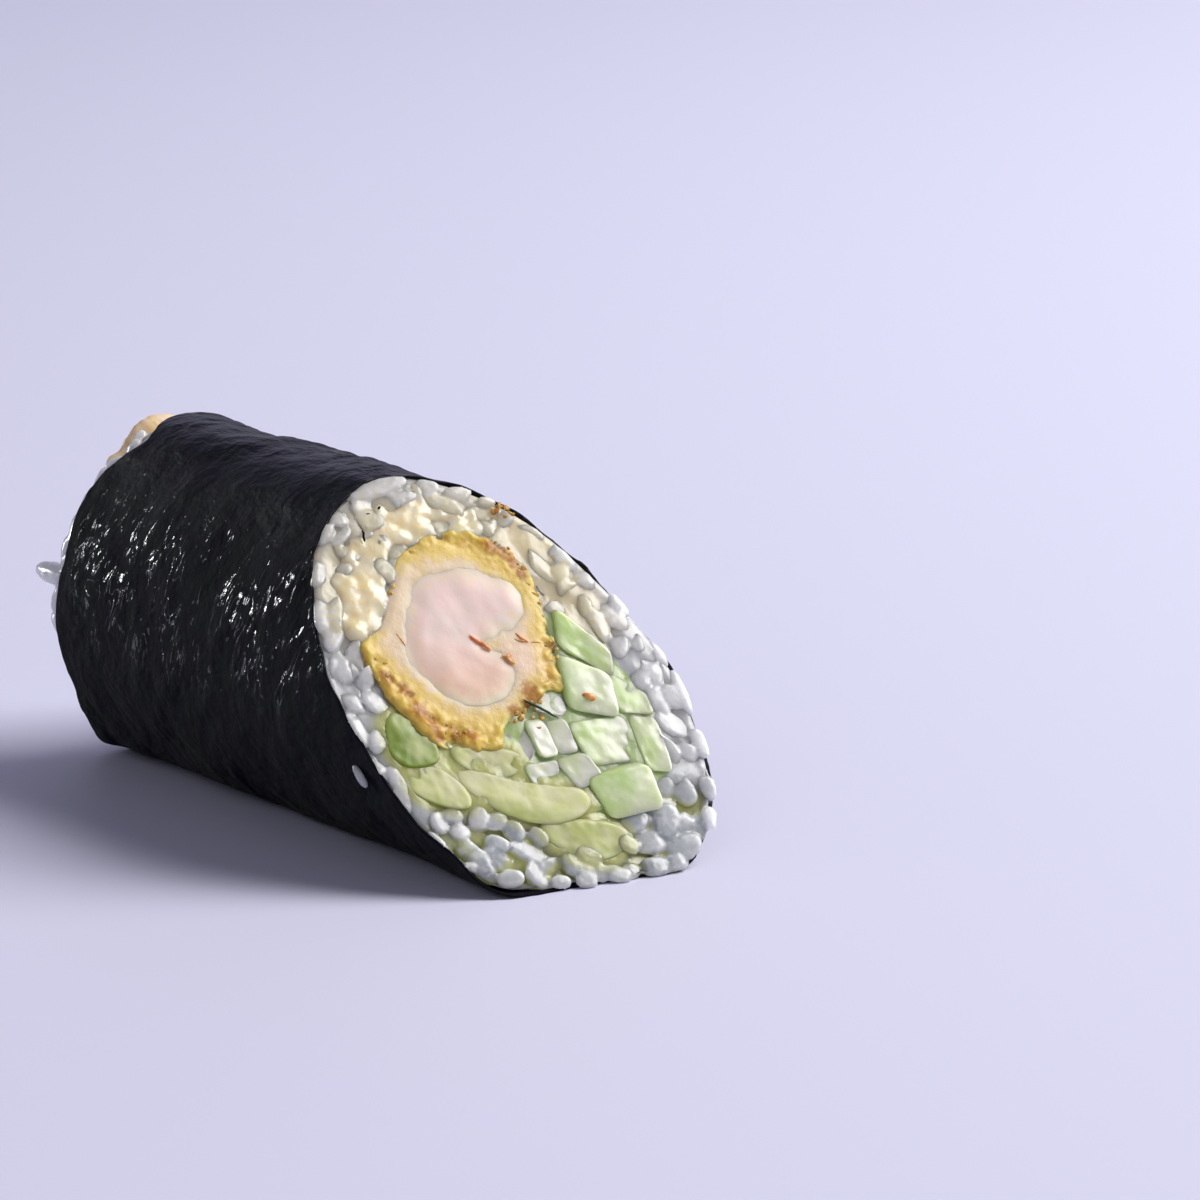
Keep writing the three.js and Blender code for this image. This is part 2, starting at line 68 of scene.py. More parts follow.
# Where each stick and slice lies across the roll, its width and height, how far it is turned, its
# own slant, and how far its end stands out of the cut. PALENESS and GREENNESS colour them.
CUCUMBER_STICKS = (
    dict(at=(11.3, 22.2), size=(3.1, 5.6), turn=68, taper=-0.21, shear=0.4, proud=0.2),
    dict(at=(9.3, 18.2), size=(4.6, 5.1), turn=73, taper=-0.13, shear=0.05, proud=0.5),
    dict(at=(13.9, 16.7), size=(2.6, 3.6), turn=79, taper=-0.33, shear=0.2, proud=-0.1),
    dict(at=(13.5, 12.3), size=(2.7, 4.9), turn=-8, taper=-0.09, shear=0.05, proud=0.1),
    dict(at=(8.5, 13.1), size=(6.4, 4.0), turn=0, taper=-0.05, shear=-0.06, proud=0.0),
    dict(at=(7.9, 8.3), size=(6.8, 3.9), turn=6, taper=-0.09, shear=0.06, proud=0.6),
    dict(at=(4.1, 17.1), size=(3.4, 1.7), turn=-16, taper=0.08, shear=0.21, proud=-0.1),
    dict(at=(-1.5, 13.9), size=(2.7, 2.7), turn=-68, taper=0.24, shear=0.0, proud=-0.1),
    dict(at=(1.1, 14.1), size=(1.9, 3.0), turn=1, taper=-0.02, shear=0.04, proud=0.3),
    dict(at=(3.6, 14.0), size=(2.1, 2.8), turn=3, taper=0.05, shear=0.09, proud=0.0),
    dict(at=(-0.4, 10.9), size=(3.6, 1.6), turn=0, taper=-0.14, shear=0.2, proud=0.0),
    dict(at=(3.9, 10.8), size=(2.4, 3.3), turn=-68, taper=0.17, shear=0.15, proud=0.2),
)
PALENESS = (0.25, 0.75, 0.0, 0.5, 0.65, 0.55, 0.85, 0.8, 1.1, 1.0, 0.8, 0.9)
AVOCADO_SLICES = (
    dict(at=(-6.0, 12.7), size=(7.6, 2.5), turn=-10, bow=0.2, proud=0.1),
    dict(at=(-3.8, 9.2), size=(14.0, 3.4), turn=-15, bow=0.42, proud=0.2),
    dict(at=(-13.2, 10.8), size=(6.2, 3.2), turn=-21, bow=-0.13, proud=0.2),
    dict(at=(-13.9, 15.1), size=(5.1, 4.7), turn=-1, bow=-0.19, proud=0.2),
    dict(at=(0.9, 4.6), size=(9.2, 3.3), turn=-8, bow=0.2, proud=0.05),
)
GREENNESS = (0.15, 0.1, 0.25, 0.95, 0.35)
# Outlines of the fried shrimp at the cut, which are drawn as smooth curves.
BATTER_OUTLINE = (
    (8.1, 22.6), (8.4, 25.5), (8.9, 28.0), (8.4, 31.2), (6.2, 33.1), (3.2, 34.1), (-0.9, 34.0),
    (-5.1, 32.5), (-7.9, 29.6), (-10.8, 26.4), (-13.5, 25.0), (-14.2, 22.5), (-13.8, 19.9),
    (-13.0, 17.9), (-11.9, 16.1), (-10.4, 14.4), (-7.2, 13.9), (-3.9, 13.9), (-1.7, 16.0),
    (2.0, 17.2), (4.2, 18.4), (6.5, 18.4), (7.6, 20.4),
)
MEAT_OUTLINE = (
    (6.9, 27.5), (6.1, 29.1), (3.5, 30.4), (-0.8, 31.1), (-4.7, 30.6), (-6.9, 28.7), (-9.1, 25.3),
    (-10.0, 22.6), (-8.9, 20.0), (-7.3, 18.5), (-4.0, 17.7), (-0.4, 18.3), (1.6, 19.8),
    (2.1, 21.2), (1.7, 22.4), (0.1, 23.5), (1.9, 24.0), (4.2, 24.6), (6.2, 25.8),
)
# Strands in the cut: places (across, up, proud) and thickness.
VEINS = (
    (((-1.6, 24.3, 0.35), (-1.1, 23.8, 0.45), (-0.6, 23.4, 0.4), (-0.1, 23.3, 0.3)), 0.42),
    (((-0.9, 23.5, 0.35), (-0.3, 23.1, 0.4), (0.2, 22.7, 0.35)), 0.34),
    (((1.0, 22.1, 0.35), (1.5, 21.8, 0.4), (2.2, 22.1, 0.3)), 0.34),
    (((1.2, 22.0, 0.35), (1.7, 21.5, 0.45), (2.1, 21.1, 0.3)), 0.4),
    (((1.5, 21.5, 0.3), (2.2, 21.5, 0.35)), 0.3),
    (((3.4, 23.6, 0.2), (4.2, 23.2, 0.25), (5.0, 23.1, 0.2)), 0.22),
    (((5.2, 23.0, 0.2), (5.9, 23.0, 0.2), (6.6, 22.8, 0.15)), 0.16),
    (((3.9, 24.1, 0.2), (4.3, 23.5, 0.3), (4.9, 23.0, 0.2)), 0.26),
    (((-9.7, 25.4, 0.1), (-9.5, 24.7, 0.12), (-9.3, 24.1, 0.1)), 0.26),
    (((8.0, 17.5, 0.3), (8.7, 17.2, 0.35), (9.5, 17.1, 0.3)), 0.9),
)
SKINS = ((((1.0, 17.8, 0.3), (2.2, 17.0, 0.3), (3.2, 16.3, 0.3), (4.2, 15.7, 0.2)), 0.34),)
FLECKS = (
    (((-8.1, 35.3, 0.4), (-8.3, 34.8, 0.45), (-8.4, 34.2, 0.35)), 0.36),
    (((-5.2, 37.1, 0.5), (-4.7, 37.3, 0.5)), 0.3),
    (((-7.0, 36.6, 0.8), (-6.5, 36.6, 0.8)), 0.15),
)
# Where the sauce lies in the cut: across, up, how wide, and how many drops.
SAUCE_PLACES = (
    (-12.0, 28.6, 3.0, 34), (-9.6, 28.2, 2.2, 20), (-9.2, 31.4, 2.0, 12), (-13.0, 25.8, 1.6, 10),
    (-3.4, 34.6, 2.2, 12), (0.4, 34.9, 2.4, 12), (3.6, 34.6, 1.6, 6), (-7.0, 33.0, 1.8, 8),
    (-5.0, 36.4, 1.3, 5), (1.2, 36.8, 1.6, 6), (5.2, 35.4, 1.4, 5), (-9.8, 33.6, 1.2, 4),
    (-6.6, 34.8, 1.6, 9), (-11.4, 30.6, 2.0, 12), (-1.6, 36.3, 1.9, 11), (2.8, 35.7, 1.7, 9),
)
# Where sauce has coloured the rice: across, up, and how wide.
TINTED_PLACES = (
    (-3, 36.0, 4.6), (2, 36.8, 4), (-10, 31, 4.6), (-12.5, 28, 3.8), (11.5, 29, 3.5),
    (9, 33.5, 4), (13.5, 25, 2.5), (5, 35.5, 4),
)
# Where avocado is mashed over the rice: across, up, and how wide.
MASHED_PLACES = (
    (-3.0, 5.6, 1.8), (0.6, 6.4, 1.6), (2.2, 4.8, 2.2), (4.4, 3.0, 1.6), (0.6, 2.8, 1.3),
    (-13.9, 5.2, 1.2), (-11.6, 8.2, 1.2),
)
# Browned places on the batter: across, up, and how wide.
BROWN_PLACES = (
    (6.0, 32.6, 1.0), (7.1, 31.9, 1.0), (7.9, 30.8, 1.0), (8.0, 29.6, 0.8), (-13.0, 21.6, 0.9),
    (-11.8, 20.1, 1.0), (-11.3, 18.1, 1.2), (-10.6, 17.1, 1.0), (-10.4, 15.6, 1.0),
    (-8.4, 15.6, 0.9), (-6.8, 15.2, 0.9), (2.3, 18.4, 1.3), (1.5, 17.1, 1.3), (-0.3, 16.8, 1.1),
    (1.1, 15.5, 0.9), (7.8, 22.4, 0.6), (8.9, 36.0, 1.2), (9.8, 35.8, 0.9),
)
# Beside the crease of the meat the batter swells, turns creamy and looks like meat: across, up,
# and how wide.
SWOLLEN = (3.2, 22.4, 2.2)
CREASE_CREAM = (3.6, 22.4, 2.0)
CREASE_FLESH = (3.4, 22.2, 2.3)
# Grains that stand out in the cut: across and up of both ends, and width.
SHOWN_GRAINS = (
    ((-18.3, 11.2), (-16.9, 8.2), 2.0), ((-17.1, 7.1), (-15.4, 4.6), 2.1),
    ((-15.1, 8.8), (-14.4, 6.8), 2.0), ((-13.3, 7.4), (-12.3, 6.0), 2.1),
    ((-9.4, 8.7), (-11.0, 6.6), 2.2), ((-6.8, 7.1), (-6.6, 5.2), 2.1),
    ((-5.0, 6.1), (-3.6, 4.5), 1.7), ((-10.5, 5.8), (-8.3, 4.6), 2.0),
    ((-12.5, 3.9), (-11.7, 1.8), 2.2), ((-15.0, 3.4), (-12.9, 3.4), 1.5),
    ((-11.4, 1.9), (-8.1, 1.9), 2.0), ((-7.3, 3.5), (-6.2, 0.6), 2.0),
    ((-5.5, 1.1), (-3.2, 0.8), 1.7), ((-1.0, 3.6), (1.5, 2.2), 2.2),
    ((-2.7, 0.9), (-0.3, 0.5), 2.0), ((1.3, 1.1), (4.1, 0.6), 2.0),
    ((-16.3, 17.1), (-18.3, 14.6), 2.0), ((-19.8, 14.6), (-18.3, 12.1), 2.2),
    ((-19.1, 19.3), (-19.1, 15.3), 2.3), ((4.7, 4.3), (5.9, 2.6), 2.2),
    ((-8.6, 39.0), (0.2, 39.8), 2.6), ((0.7, 39.3), (3.5, 38.7), 2.0),
    ((3.6, 38.2), (7.0, 37.7), 1.8), ((7.2, 37.1), (9.3, 36.8), 1.2),
    ((-8.1, 36.8), (-4.8, 36.0), 2.8), ((-10.5, 37.0), (-13.6, 34.5), 1.8),
    ((-12.8, 33.8), (-16.4, 30.5), 2.1), ((-12.1, 34.0), (-9.1, 32.8), 2.0),
    ((-13.3, 31.5), (-10.7, 32.3), 1.8), ((-15.7, 29.8), (-18.2, 26.4), 2.4),
    ((-14.3, 29.5), (-16.5, 26.2), 1.8), ((-5.7, 34.9), (-6.8, 33.4), 1.6),
    ((17.3, 26.8), (18.1, 24.4), 1.5), ((17.7, 23.3), (17.7, 20.6), 1.9),
    ((14.2, 25.8), (15.1, 20.8), 2.7), ((19.3, 21.9), (20.0, 19.3), 1.6),
    ((20.2, 19.1), (20.0, 14.5), 1.7), ((19.4, 13.2), (19.2, 10.3), 1.9),
    ((18.0, 9.3), (17.7, 6.4), 1.9), ((16.4, 6.0), (15.9, 3.6), 1.9),
    ((8.9, 2.2), (14.0, 3.1), 3.1), ((15.3, 20.2), (16.4, 17.3), 2.3),
    ((15.9, 15.2), (19.0, 12.8), 3.1), ((14.6, 9.7), (15.1, 6.3), 3.0),
    ((16.1, 11.9), (18.6, 10.4), 2.3), ((12.3, 6.6), (9.8, 3.5), 2.7),
    ((5.9, 3.6), (10.3, 3.4), 2.8), ((18.6, 17.7), (19.0, 15.2), 2.3),
    ((16.4, 22.8), (14.6, 20.6), 2.2),
)
# Grains beside the wrap at the back: degrees round, how far out, how straight back, and size.
OUTER_GRAINS = (
    (167, 2.6, 0.95, 1.1), (174, 1.0, 0.3, 0.8), (187, 0.9, 0.6, 0.9), (193, 0.8, 0.2, 0.8),
    (131, 0.5, 0.25, 0.8), (141, 0.5, 0.25, 0.8), (150, 0.5, 0.25, 0.8), (159, 0.5, 0.25, 0.8),
)
# A grain's corners round and their heights, for a grain of unit length.
GRAIN_SIDES = 8
GRAIN_HEIGHTS = np.array([-0.46, -0.33, -0.12, 0.12, 0.33, 0.46])
# The fried shrimp: its middle at the cut, how far it moves and thins towards the back, how far
# its end looks out there, and how that end bends.
SHRIMP_MIDDLE = np.array([-2.6, 24.0])
SHRIMP_RISE = np.array([-0.8, 9.0])
SHRIMP_THIN = 0.48
SHRIMP_PEEP = 5.6
SWELL = np.array([-1.2, 1.8])
# The stage, in metres: where the camera stands, its lens, and its ways right, up and back from
# what it sees; the ways ahead along the floor and up from it; and the soft lights, with their
# place from their target, size, power and colour.
CAMERA_PLACE = (0.46203, -0.32831, 0.16526)
CAMERA_LENS = 150.56
RIGHT = Vector((0.61511, 0.78844, 0))
UP = Vector((-0.19020, 0.14839, 0.97047))
TOWARD = Vector((0.76515, -0.59695, 0.24124))
AHEAD = Vector((-TOWARD.x, -TOWARD.y, 0)).normalized()
HIGH = Vector((0, 0, 1))
LIGHT_TARGET = Vector((0.005, 0, 0.015))
LIGHTS = (
    ("Key", RIGHT * 1.06 + AHEAD * 0.3 + HIGH * 1.06, (0.95, 0.95), 30, (1.0, 0.985, 0.97)),
    ("Front fill", -RIGHT * 0.25 - AHEAD * 0.75 + HIGH * 0.5, (0.6, 0.6), 0.8, (0.95, 0.95, 1.0)),
    ("Side glint", Vector((-0.475, -0.29, 0.15)), (0.07, 0.2), 2.4, (0.95, 1.0, 0.98)),
)


def length_value(name, description, default):
    """A length that a user may change."""
    return FloatProperty(name=name, description=description, default=default, unit="LENGTH")


class RollSizes(bpy.types.PropertyGroup):
    """Sizes of the roll and of what repeats in it."""

    radius: length_value("Roll radius", "Radius of the wrapped roll", 0.021)
    axis_height: length_value(
        "Axis height", "Height of the roll's middle line over the table", 0.01825
    )
    half_length: length_value("Length", "From the back end to the middle of the cut", 0.0614)
    cut_slope: FloatProperty(
        name="Cut slope", description="How far the cut moves back for each unit up", default=0.92
    )
    cut_skew: FloatProperty(
        name="Cut skew", description="How far the cut moves forward for each unit across",
        default=0.216,
    )
    sheet: length_value("Sheet thickness", "Thickness of the nori that shows at the rims", 0.0003)
    wrinkle: length_value("Wrinkle height", "Height of the nori's creases", 0.00016)
    grain_length: length_value("Grain length", "Length of a cooked rice grain", 0.0066)
    grain_width: length_value("Grain width", "Width of a cooked rice grain", 0.0027)
    grain_height: length_value("Grain height", "Height of a cooked rice grain", 0.0024)
    crumb: length_value("Crumb size", "Size of a fried crumb on the batter", 0.001)
    seed: IntProperty(name="Seed", description="Start of every random draw", default=7)


def colour_value(name, description, default):
    """A colour that a user may change."""
    return FloatVectorProperty(
        name=name, description=description, default=default, size=3, subtype="COLOR",
        min=0.0, max=1.0,
    )


class RollColours(bpy.types.PropertyGroup):
    """Colours of the foods and of the stage."""

    nori: colour_value("Nori", "Near black of the dried seaweed", (0.0040, 0.0036, 0.0090))
    rice: colour_value("Rice", "White of the cooked rice", (0.80, 0.80, 0.82))
    rice_tint: colour_value(
        "Rice near the sauce", "Rice that sauce has coloured", (0.80, 0.68, 0.44)
    )
    meat: colour_value("Shrimp meat", "Pale pink of the cooked meat", (0.84, 0.62, 0.57))
    batter: colour_value("Batter", "Golden fried batter", (0.77, 0.54, 0.11))
    crumb: colour_value("Crumb", "Browned crumbs on the batter", (0.47, 0.21, 0.03))
    sauce: colour_value("Sauce", "Creamy sauce", (0.92, 0.70, 0.41))
    cucumber: colour_value("Cucumber", "Pale green cucumber flesh", (0.54, 0.71, 0.28))
    avocado: colour_value("Avocado", "Yellow green avocado flesh", (0.61, 0.63, 0.24))
    stage: colour_value("Stage", "Pale lavender of floor and backdrop", (0.70, 0.70, 0.865))


def sizes():
    """The roll's sizes, as a user has set them."""
    return bpy.context.scene.roll_sizes


def colours():
    """The roll's colours, as a user has set them."""
    return bpy.context.scene.roll_colours


def mm(name):
    """One of the roll's sizes in millimetres."""
    return getattr(sizes(), name) / MM


# Shape of the wrap and the cut.


def skin_radius(angle, x):
    """The wrapped roll's radius, with the shallow dents of nori drawn over rice."""
    around = (
        1
        - 0.032 * np.cos(2 * angle)
        - 0.024 * np.sin(2 * angle)
        + 0.008 * np.cos(3 * angle)
        - 0.014 * np.sin(3 * angle)
    )
    dents = (
        np.sin(3 * angle + 0.12 * x)
        + np.sin(5 * angle - 0.17 * x + 1.7)
        + np.sin(7 * angle + 0.22 * x + 0.6)
    )
    return mm("radius") * around + 0.13 * dents


def resting(height):
    """Heights held up by the table, with a soft turn into the flat underside."""
    soft = 1.2
    turned = np.clip(height + soft, 0, None) ** 2 / (4 * soft)
    return np.where(height >= soft, height, turned)


def layer(angle, x, inset):
    """y and z of the layer that lies inset under the skin."""
    radius = skin_radius(angle, x) - inset
    floor = np.maximum(inset, 0)
    y = radius * np.cos(angle)
    z = floor + resting(mm("axis_height") + radius * np.sin(angle) - floor)
    return y, z


def cut_at(y, z):
    """The x of the slanted cut."""
    return sizes().cut_skew * y - sizes().cut_slope * (z - CUT_HEIGHT)


def layer_at_cut(angle, inset, proud=0.0):
    """x of a layer's point at the cut, found in steps because the dents depend on x."""
    x = np.zeros_like(angle)
    for _ in range(4):
        y, z = layer(angle, x, inset)
        x = cut_at(y, z) + proud
    return x


def back_x():
    """The x of the back end."""
    return -mm("half_length")


def back_rim(angle):
    """The x of the nori's wavy back rim, which stays back over the shrimp."""
    over_shrimp = hump(angle - math.radians(113), 0.15)
    wave = 0.35 * np.sin(3 * angle + 0.8) + 0.2 * np.sin(7 * angle)
    return back_x() + wave + 2.3 * over_shrimp


def polar(y, z):
    """The angle of a place round the roll's middle line, and its distance from that line."""
    up = z - mm("axis_height")
    return np.arctan2(up, y), np.hypot(y, up)


def on_roll(x, angle, radius):
    """The place at an angle round the roll's middle line and a distance from it."""
    return np.array([x, radius * math.cos(angle), mm("axis_height") + radius * math.sin(angle)])


def tucked(angle):
    """How far the nori's rim stays behind the rice at the cut, on the side turned from view."""
    return TUCK * smoothstep(np.cos(angle + 0.3), -0.25, 0.4)


def held_in(points):
    """Places moved inside the nori, but free where they stand out beyond its two rims."""
    x, y, z = points.T
    angle, reach = polar(y, z)
    free = smoothstep(x - cut_at(y, z) + tucked(angle), 0.0, 0.3)
    free = np.maximum(free, smoothstep(back_rim(angle) - x, 0.0, 0.4))
    limit = polar(*layer(angle, x, 0.42 - 0.36 * free))[1]
    scale = np.minimum(1, limit / np.maximum(reach, 1e-6))
    return np.column_stack([x, y * scale, mm("axis_height") + (z - mm("axis_height")) * scale])


def cut_frame():
    """The cut's normal and its two directions, across and up the slope."""
    normal = np.array([1.0, -sizes().cut_skew, sizes().cut_slope])
    across = np.array([sizes().cut_skew, 1.0, 0.0])
    normal /= np.linalg.norm(normal)
    across /= np.linalg.norm(across)
    return normal, across, np.cross(normal, across)


# Noise and outlines.


def cell_values(cells, seed):
    """A repeatable value from -1 to 1 for each whole cell."""
    mixed = cells.astype(np.int64) * np.array([374761393, 668265263, 1274126177])
    mixed = mixed.sum(axis=-1) + seed * 1013904223
    mixed = (mixed ^ (mixed >> 13)) * 1103515245 & 0x7FFFFFFF
    mixed = (mixed ^ (mixed >> 16)) * 69069 & 0x7FFFFFFF
    return (mixed ^ (mixed >> 11)) % 100003 / 50001.0 - 1.0


def noise(points, size, seed=0):
    """Smooth noise from -1 to 1 whose features have the given size, which may be a triple."""
    places = np.asarray(points, float) / np.asarray(size, float) + 311.7
    cells = np.floor(places)
    inner = places - cells
    inner = inner * inner * (3 - 2 * inner)
    total = np.zeros(places.shape[:-1])
    for corner in itertools.product((0, 1), repeat=3):
        step = np.array(corner)
        share = np.where(step == 1, inner, 1 - inner).prod(axis=-1)
        total += cell_values(cells + step, seed) * share
    return total


def smoothstep(value, low, high):
    """0 at one limit, 1 at the other, eased between them; the first limit may be the higher."""
    share = np.clip((value - low) / (high - low), 0, 1)
    return share * share * (3 - 2 * share)


def hump(apart, reach):
    """1 where apart is 0, falling off on both sides over a reach."""
    return np.exp(-((apart / reach) ** 2))


def hump_at(place, y, z):
    """1 at a place across the roll, falling off round it: the place is across, up and how wide."""
    at_y, at_z, reach = place
    return np.exp(-((y - at_y) ** 2 + (z - at_z) ** 2) / reach ** 2)


def distance(line, places):
    """How far places lie from a closed line; less than 0 inside it."""
    apart = np.linalg.norm(places[:, None] - line[None], axis=2).min(axis=1)
    return np.where(inside(line, *places.T), -apart, apart)


def scaled(line, scale):
    """A closed line made larger or smaller round its middle."""
    middle = line.mean(axis=0)
    return middle + (line - middle) * scale


def smooth_outline(outline, samples):
    """A closed, evenly sampled curve through outline points."""
    control = np.array(outline, float)
    count = len(control)
    curve = []
    for i in range(count):
        before, start, end, after = (control[(i + k) % count] for k in (-1, 0, 1, 2))
        for t in np.linspace(0, 1, 24, endpoint=False):
            curve.append(
                0.5 * (
                    2 * start
                    + (end - before) * t
                    + (2 * before - 5 * start + 4 * end - after) * t * t
                    + (3 * start - before - 3 * end + after) * t ** 3
                )
            )
    return resample(np.array(curve), samples)


def resample(line, samples):
    """A closed line with its points spread evenly."""
    closed = np.vstack([line, line[:1]])
    steps = np.linalg.norm(np.diff(closed, axis=0), axis=1)
    along = np.concatenate([[0], np.cumsum(steps)])
    wanted = np.linspace(0, along[-1], samples, endpoint=False)
    return np.stack([np.interp(wanted, along, closed[:, k]) for k in (0, 1)], axis=1)


def grown(line, by):
    """A closed line moved outwards."""
    run = np.roll(line, -1, axis=0) - np.roll(line, 1, axis=0)
    out = np.stack([run[:, 1], -run[:, 0]], axis=1)
    return line + by * out / np.linalg.norm(out, axis=1, keepdims=True)


def inside(line, y, z):
    """Whether places lie inside a closed line."""
    y, z = np.asarray(y, float), np.asarray(z, float)
    found = np.zeros(y.shape, bool)
    for (y1, z1), (y2, z2) in zip(line, np.roll(line, -1, axis=0)):
        if z1 == z2:
            continue
        crosses = (z1 > z) != (z2 > z)
        found ^= crosses & (y < y1 + (z - z1) * (y2 - y1) / (z2 - z1))
    return found


def set_down(piece, across, up):
    """Places in a piece's own section, set down across the roll."""
    angle = math.radians(piece["turn"])
    y = piece["at"][0] + across * math.cos(angle) - up * math.sin(angle)
    z = piece["at"][1] + across * math.sin(angle) + up * math.cos(angle)
    return np.stack([y, z], axis=-1)


def stick_outline(piece, samples):
    """The section of a cucumber stick: four sides, with corners barely rounded."""
    rounding = 0.16
    width, height = piece["size"]
    side = np.array([1, 1, -1, -1])
    end = np.array([-1, 1, 1, -1])
    across = (side * width * (1 - piece["taper"] * end) + piece["shear"] * end * height) / 2
    corners = set_down(piece, across, end * height / 2)
    line = []
    for i, corner in enumerate(corners):
        entry = corner + (corners[i - 1] - corner) * rounding
        leave = corner + (corners[(i + 1) % 4] - corner) * rounding
        for t in np.linspace(0, 1, 7):
            line.append((1 - t) ** 2 * entry + 2 * t * (1 - t) * corner + t * t * leave)
    return resample(np.array(line), samples)


def slice_outline(piece, samples):
    """The section of an avocado slice: a long round, bowed like its fruit."""
    width, height = piece["size"]
    angle = np.linspace(0, math.tau, 160, endpoint=False)
    bend = piece["bow"] * height * (np.cos(angle) ** 2 - 0.5)
    line = set_down(piece, width / 2 * np.cos(angle), height / 2 * np.sin(angle) + bend)
    return resample(line, samples)


# Making meshes.


def to_world(points):
    """Places in the roll, in the frame's metres."""
    return (np.asarray(points, float) - MIDDLE) * MM


def new_object(name, data):
    """An object in the scene that holds a mesh, a light or a camera."""
    made = bpy.data.objects.new(name, data)
    bpy.context.scene.collection.objects.link(made)
    return made


def shade_faces(mesh, smooth=True):
    """Makes every face of a mesh look smooth or flat."""
    mesh.polygons.foreach_set("use_smooth", np.full(len(mesh.polygons), smooth))


def mesh_object(name, points, faces):
    """A smooth mesh object from points in metres."""
    mesh = bpy.data.meshes.new(name)
    mesh.from_pydata(np.asarray(points, float).tolist(), [], faces)
    shade_faces(mesh)
    return new_object(name, mesh)


def mesh_piece(name, points, faces):
    """A smooth mesh object from places in the roll."""
    return mesh_object(name, to_world(points), faces)


def store(mesh, key, value):
    """Keeps a number or a vector for each point of a mesh under a name."""
    layer_kind = "FLOAT" if np.ndim(value) == 1 else "FLOAT_VECTOR"
    field = "value" if layer_kind == "FLOAT" else "vector"
    attribute = mesh.attributes.new(key, layer_kind, "POINT")
    attribute.data.foreach_set(field, np.asarray(value, np.float32).ravel())


def grid_faces(rows, columns):
    """Quads between closed rings, facing out where rings run counterclockwise and rows forward."""
    row, column = np.meshgrid(np.arange(rows - 1), np.arange(columns), indexing="ij")
    after = (column + 1) % columns
    quads = np.stack(
        [row * columns + column, row * columns + after,
         (row + 1) * columns + after, (row + 1) * columns + column],
        axis=-1,
    )
    return quads.reshape(-1, 4).tolist()


def closed_loft(name, rings):
    """A closed piece from rings, with a pole at each end."""
    rings = np.asarray(rings)
    rows, columns = rings.shape[:2]
    count = rows * columns
    last = (rows - 1) * columns
    points = np.vstack([rings.reshape(-1, 3), rings[0].mean(axis=0), rings[-1].mean(axis=0)])
    faces = grid_faces(rows, columns)
    for column in range(columns):
        after = (column + 1) % columns
        faces.append((count, after, column))
        faces.append((last + column, last + after, count + 1))
    return mesh_piece(name, points, faces)


def positions(mesh):
    """A mesh's points in millimetres, in the frame."""
    points = np.empty(len(mesh.vertices) * 3, np.float32)
    mesh.vertices.foreach_get("co", points)
    return points.reshape(-1, 3).astype(float) / MM


def roll_places(piece):
    """A piece's points as places in the roll."""
    return positions(piece.data) + MIDDLE


def move_points(mesh, points):
    """Sets a mesh's points to places in millimetres, in the frame."""
    mesh.vertices.foreach_set("co", (points * MM).astype(np.float32).ravel())
    mesh.update()


def directions(mesh):
    """The way out at each point of a mesh."""
    out = np.empty(len(mesh.vertices) * 3, np.float32)
    mesh.vertex_normals.foreach_get("vector", out)
    return out.reshape(-1, 3).astype(float)


def roughen(piece, layers, share=1.0):
    """Moves a piece's surface in and out by layers of noise: size, height and seed."""
    points = positions(piece.data)
    push = sum(height * noise(points, size, seed) for size, height, seed in layers)
    move_points(piece.data, points + directions(piece.data) * (push * share)[:, None])


def filling_piece(name, outline_at, back, front, rounding=0.35, body_rows=16, face_rows=10):
    """A piece of filling that runs from the back end to its cut face.

    outline_at(t) gives its section from t = 0 at the back to 1 at the cut; back(y, z) and
    front(y, z) give the x of its two ends. The value rim of its points says how near they are to
    the face's edge.
    """
    rings, rims = [], []

    def add(t, scale, x_of, rim):
        line = scaled(outline_at(t), scale)
        rings.append(np.column_stack([x_of(*line.T), line]))
        rims.append(rim)

    line = outline_at(1.0)
    reach = np.linalg.norm(line - line.mean(axis=0), axis=1).mean()
    corner = min(rounding / reach, 0.5)
    turns = [math.radians(degrees) for degrees in (60, 30, 0)]
    bends = [(1 - corner * (1 - math.cos(turn)), rounding * (1 - math.sin(turn))) for turn in turns]
    for scale in (0.25, 0.55, 0.8):
        add(0, scale, back, scale)
    for inset, depth in bends:
        add(0, inset, lambda y, z: back(y, z) + depth, 1)
    for t in np.linspace(0, 1, body_rows + 2)[1:-1] ** 0.7:
        add(t, 1, lambda y, z: back(y, z) * (1 - t) + (front(y, z) - rounding) * t, 1)
    for inset, depth in reversed(bends):
        add(1, inset, lambda y, z: front(y, z) - depth, 1)
    for scale in np.linspace(1 - corner, 0.06, face_rows):
        add(1, scale, front, scale)
    piece = closed_loft(name, rings)
    store(piece.data, "rim", np.append(np.repeat(rims, len(rings[0])), (rims[0], rims[-1])))
    return piece


class Nodes:
    """A node tree, with short ways to add to it."""

    def __init__(self, tree):
        self.tree = tree

    def node(self, kind, settings=None, **inputs):
        """A new node; an input's name has _ for each space, and takes a value or a link."""
        made = self.tree.nodes.new(kind)
        for key, value in (settings or {}).items():
            setattr(made, key, value)
        for key, value in inputs.items():
            self.feed(made.inputs[key.replace("_", " ")], value)
        return made

    def feed(self, socket, value):
        """Links a socket to another's output, or sets its value."""
        if isinstance(value, bpy.types.NodeSocket):
            self.tree.links.new(value, socket)
        elif isinstance(value, bpy.types.Node):
            self.tree.links.new(value.outputs[0], socket)
        else:
            socket.default_value = value

    def math(self, operation, a, b, clamp=False):
        """The result of one operation on two values."""
        made = self.node("ShaderNodeMath", {"operation": operation, "use_clamp": clamp})
        self.feed(made.inputs[0], a)
        self.feed(made.inputs[1], b)
        return made.outputs[0]


# Making materials.


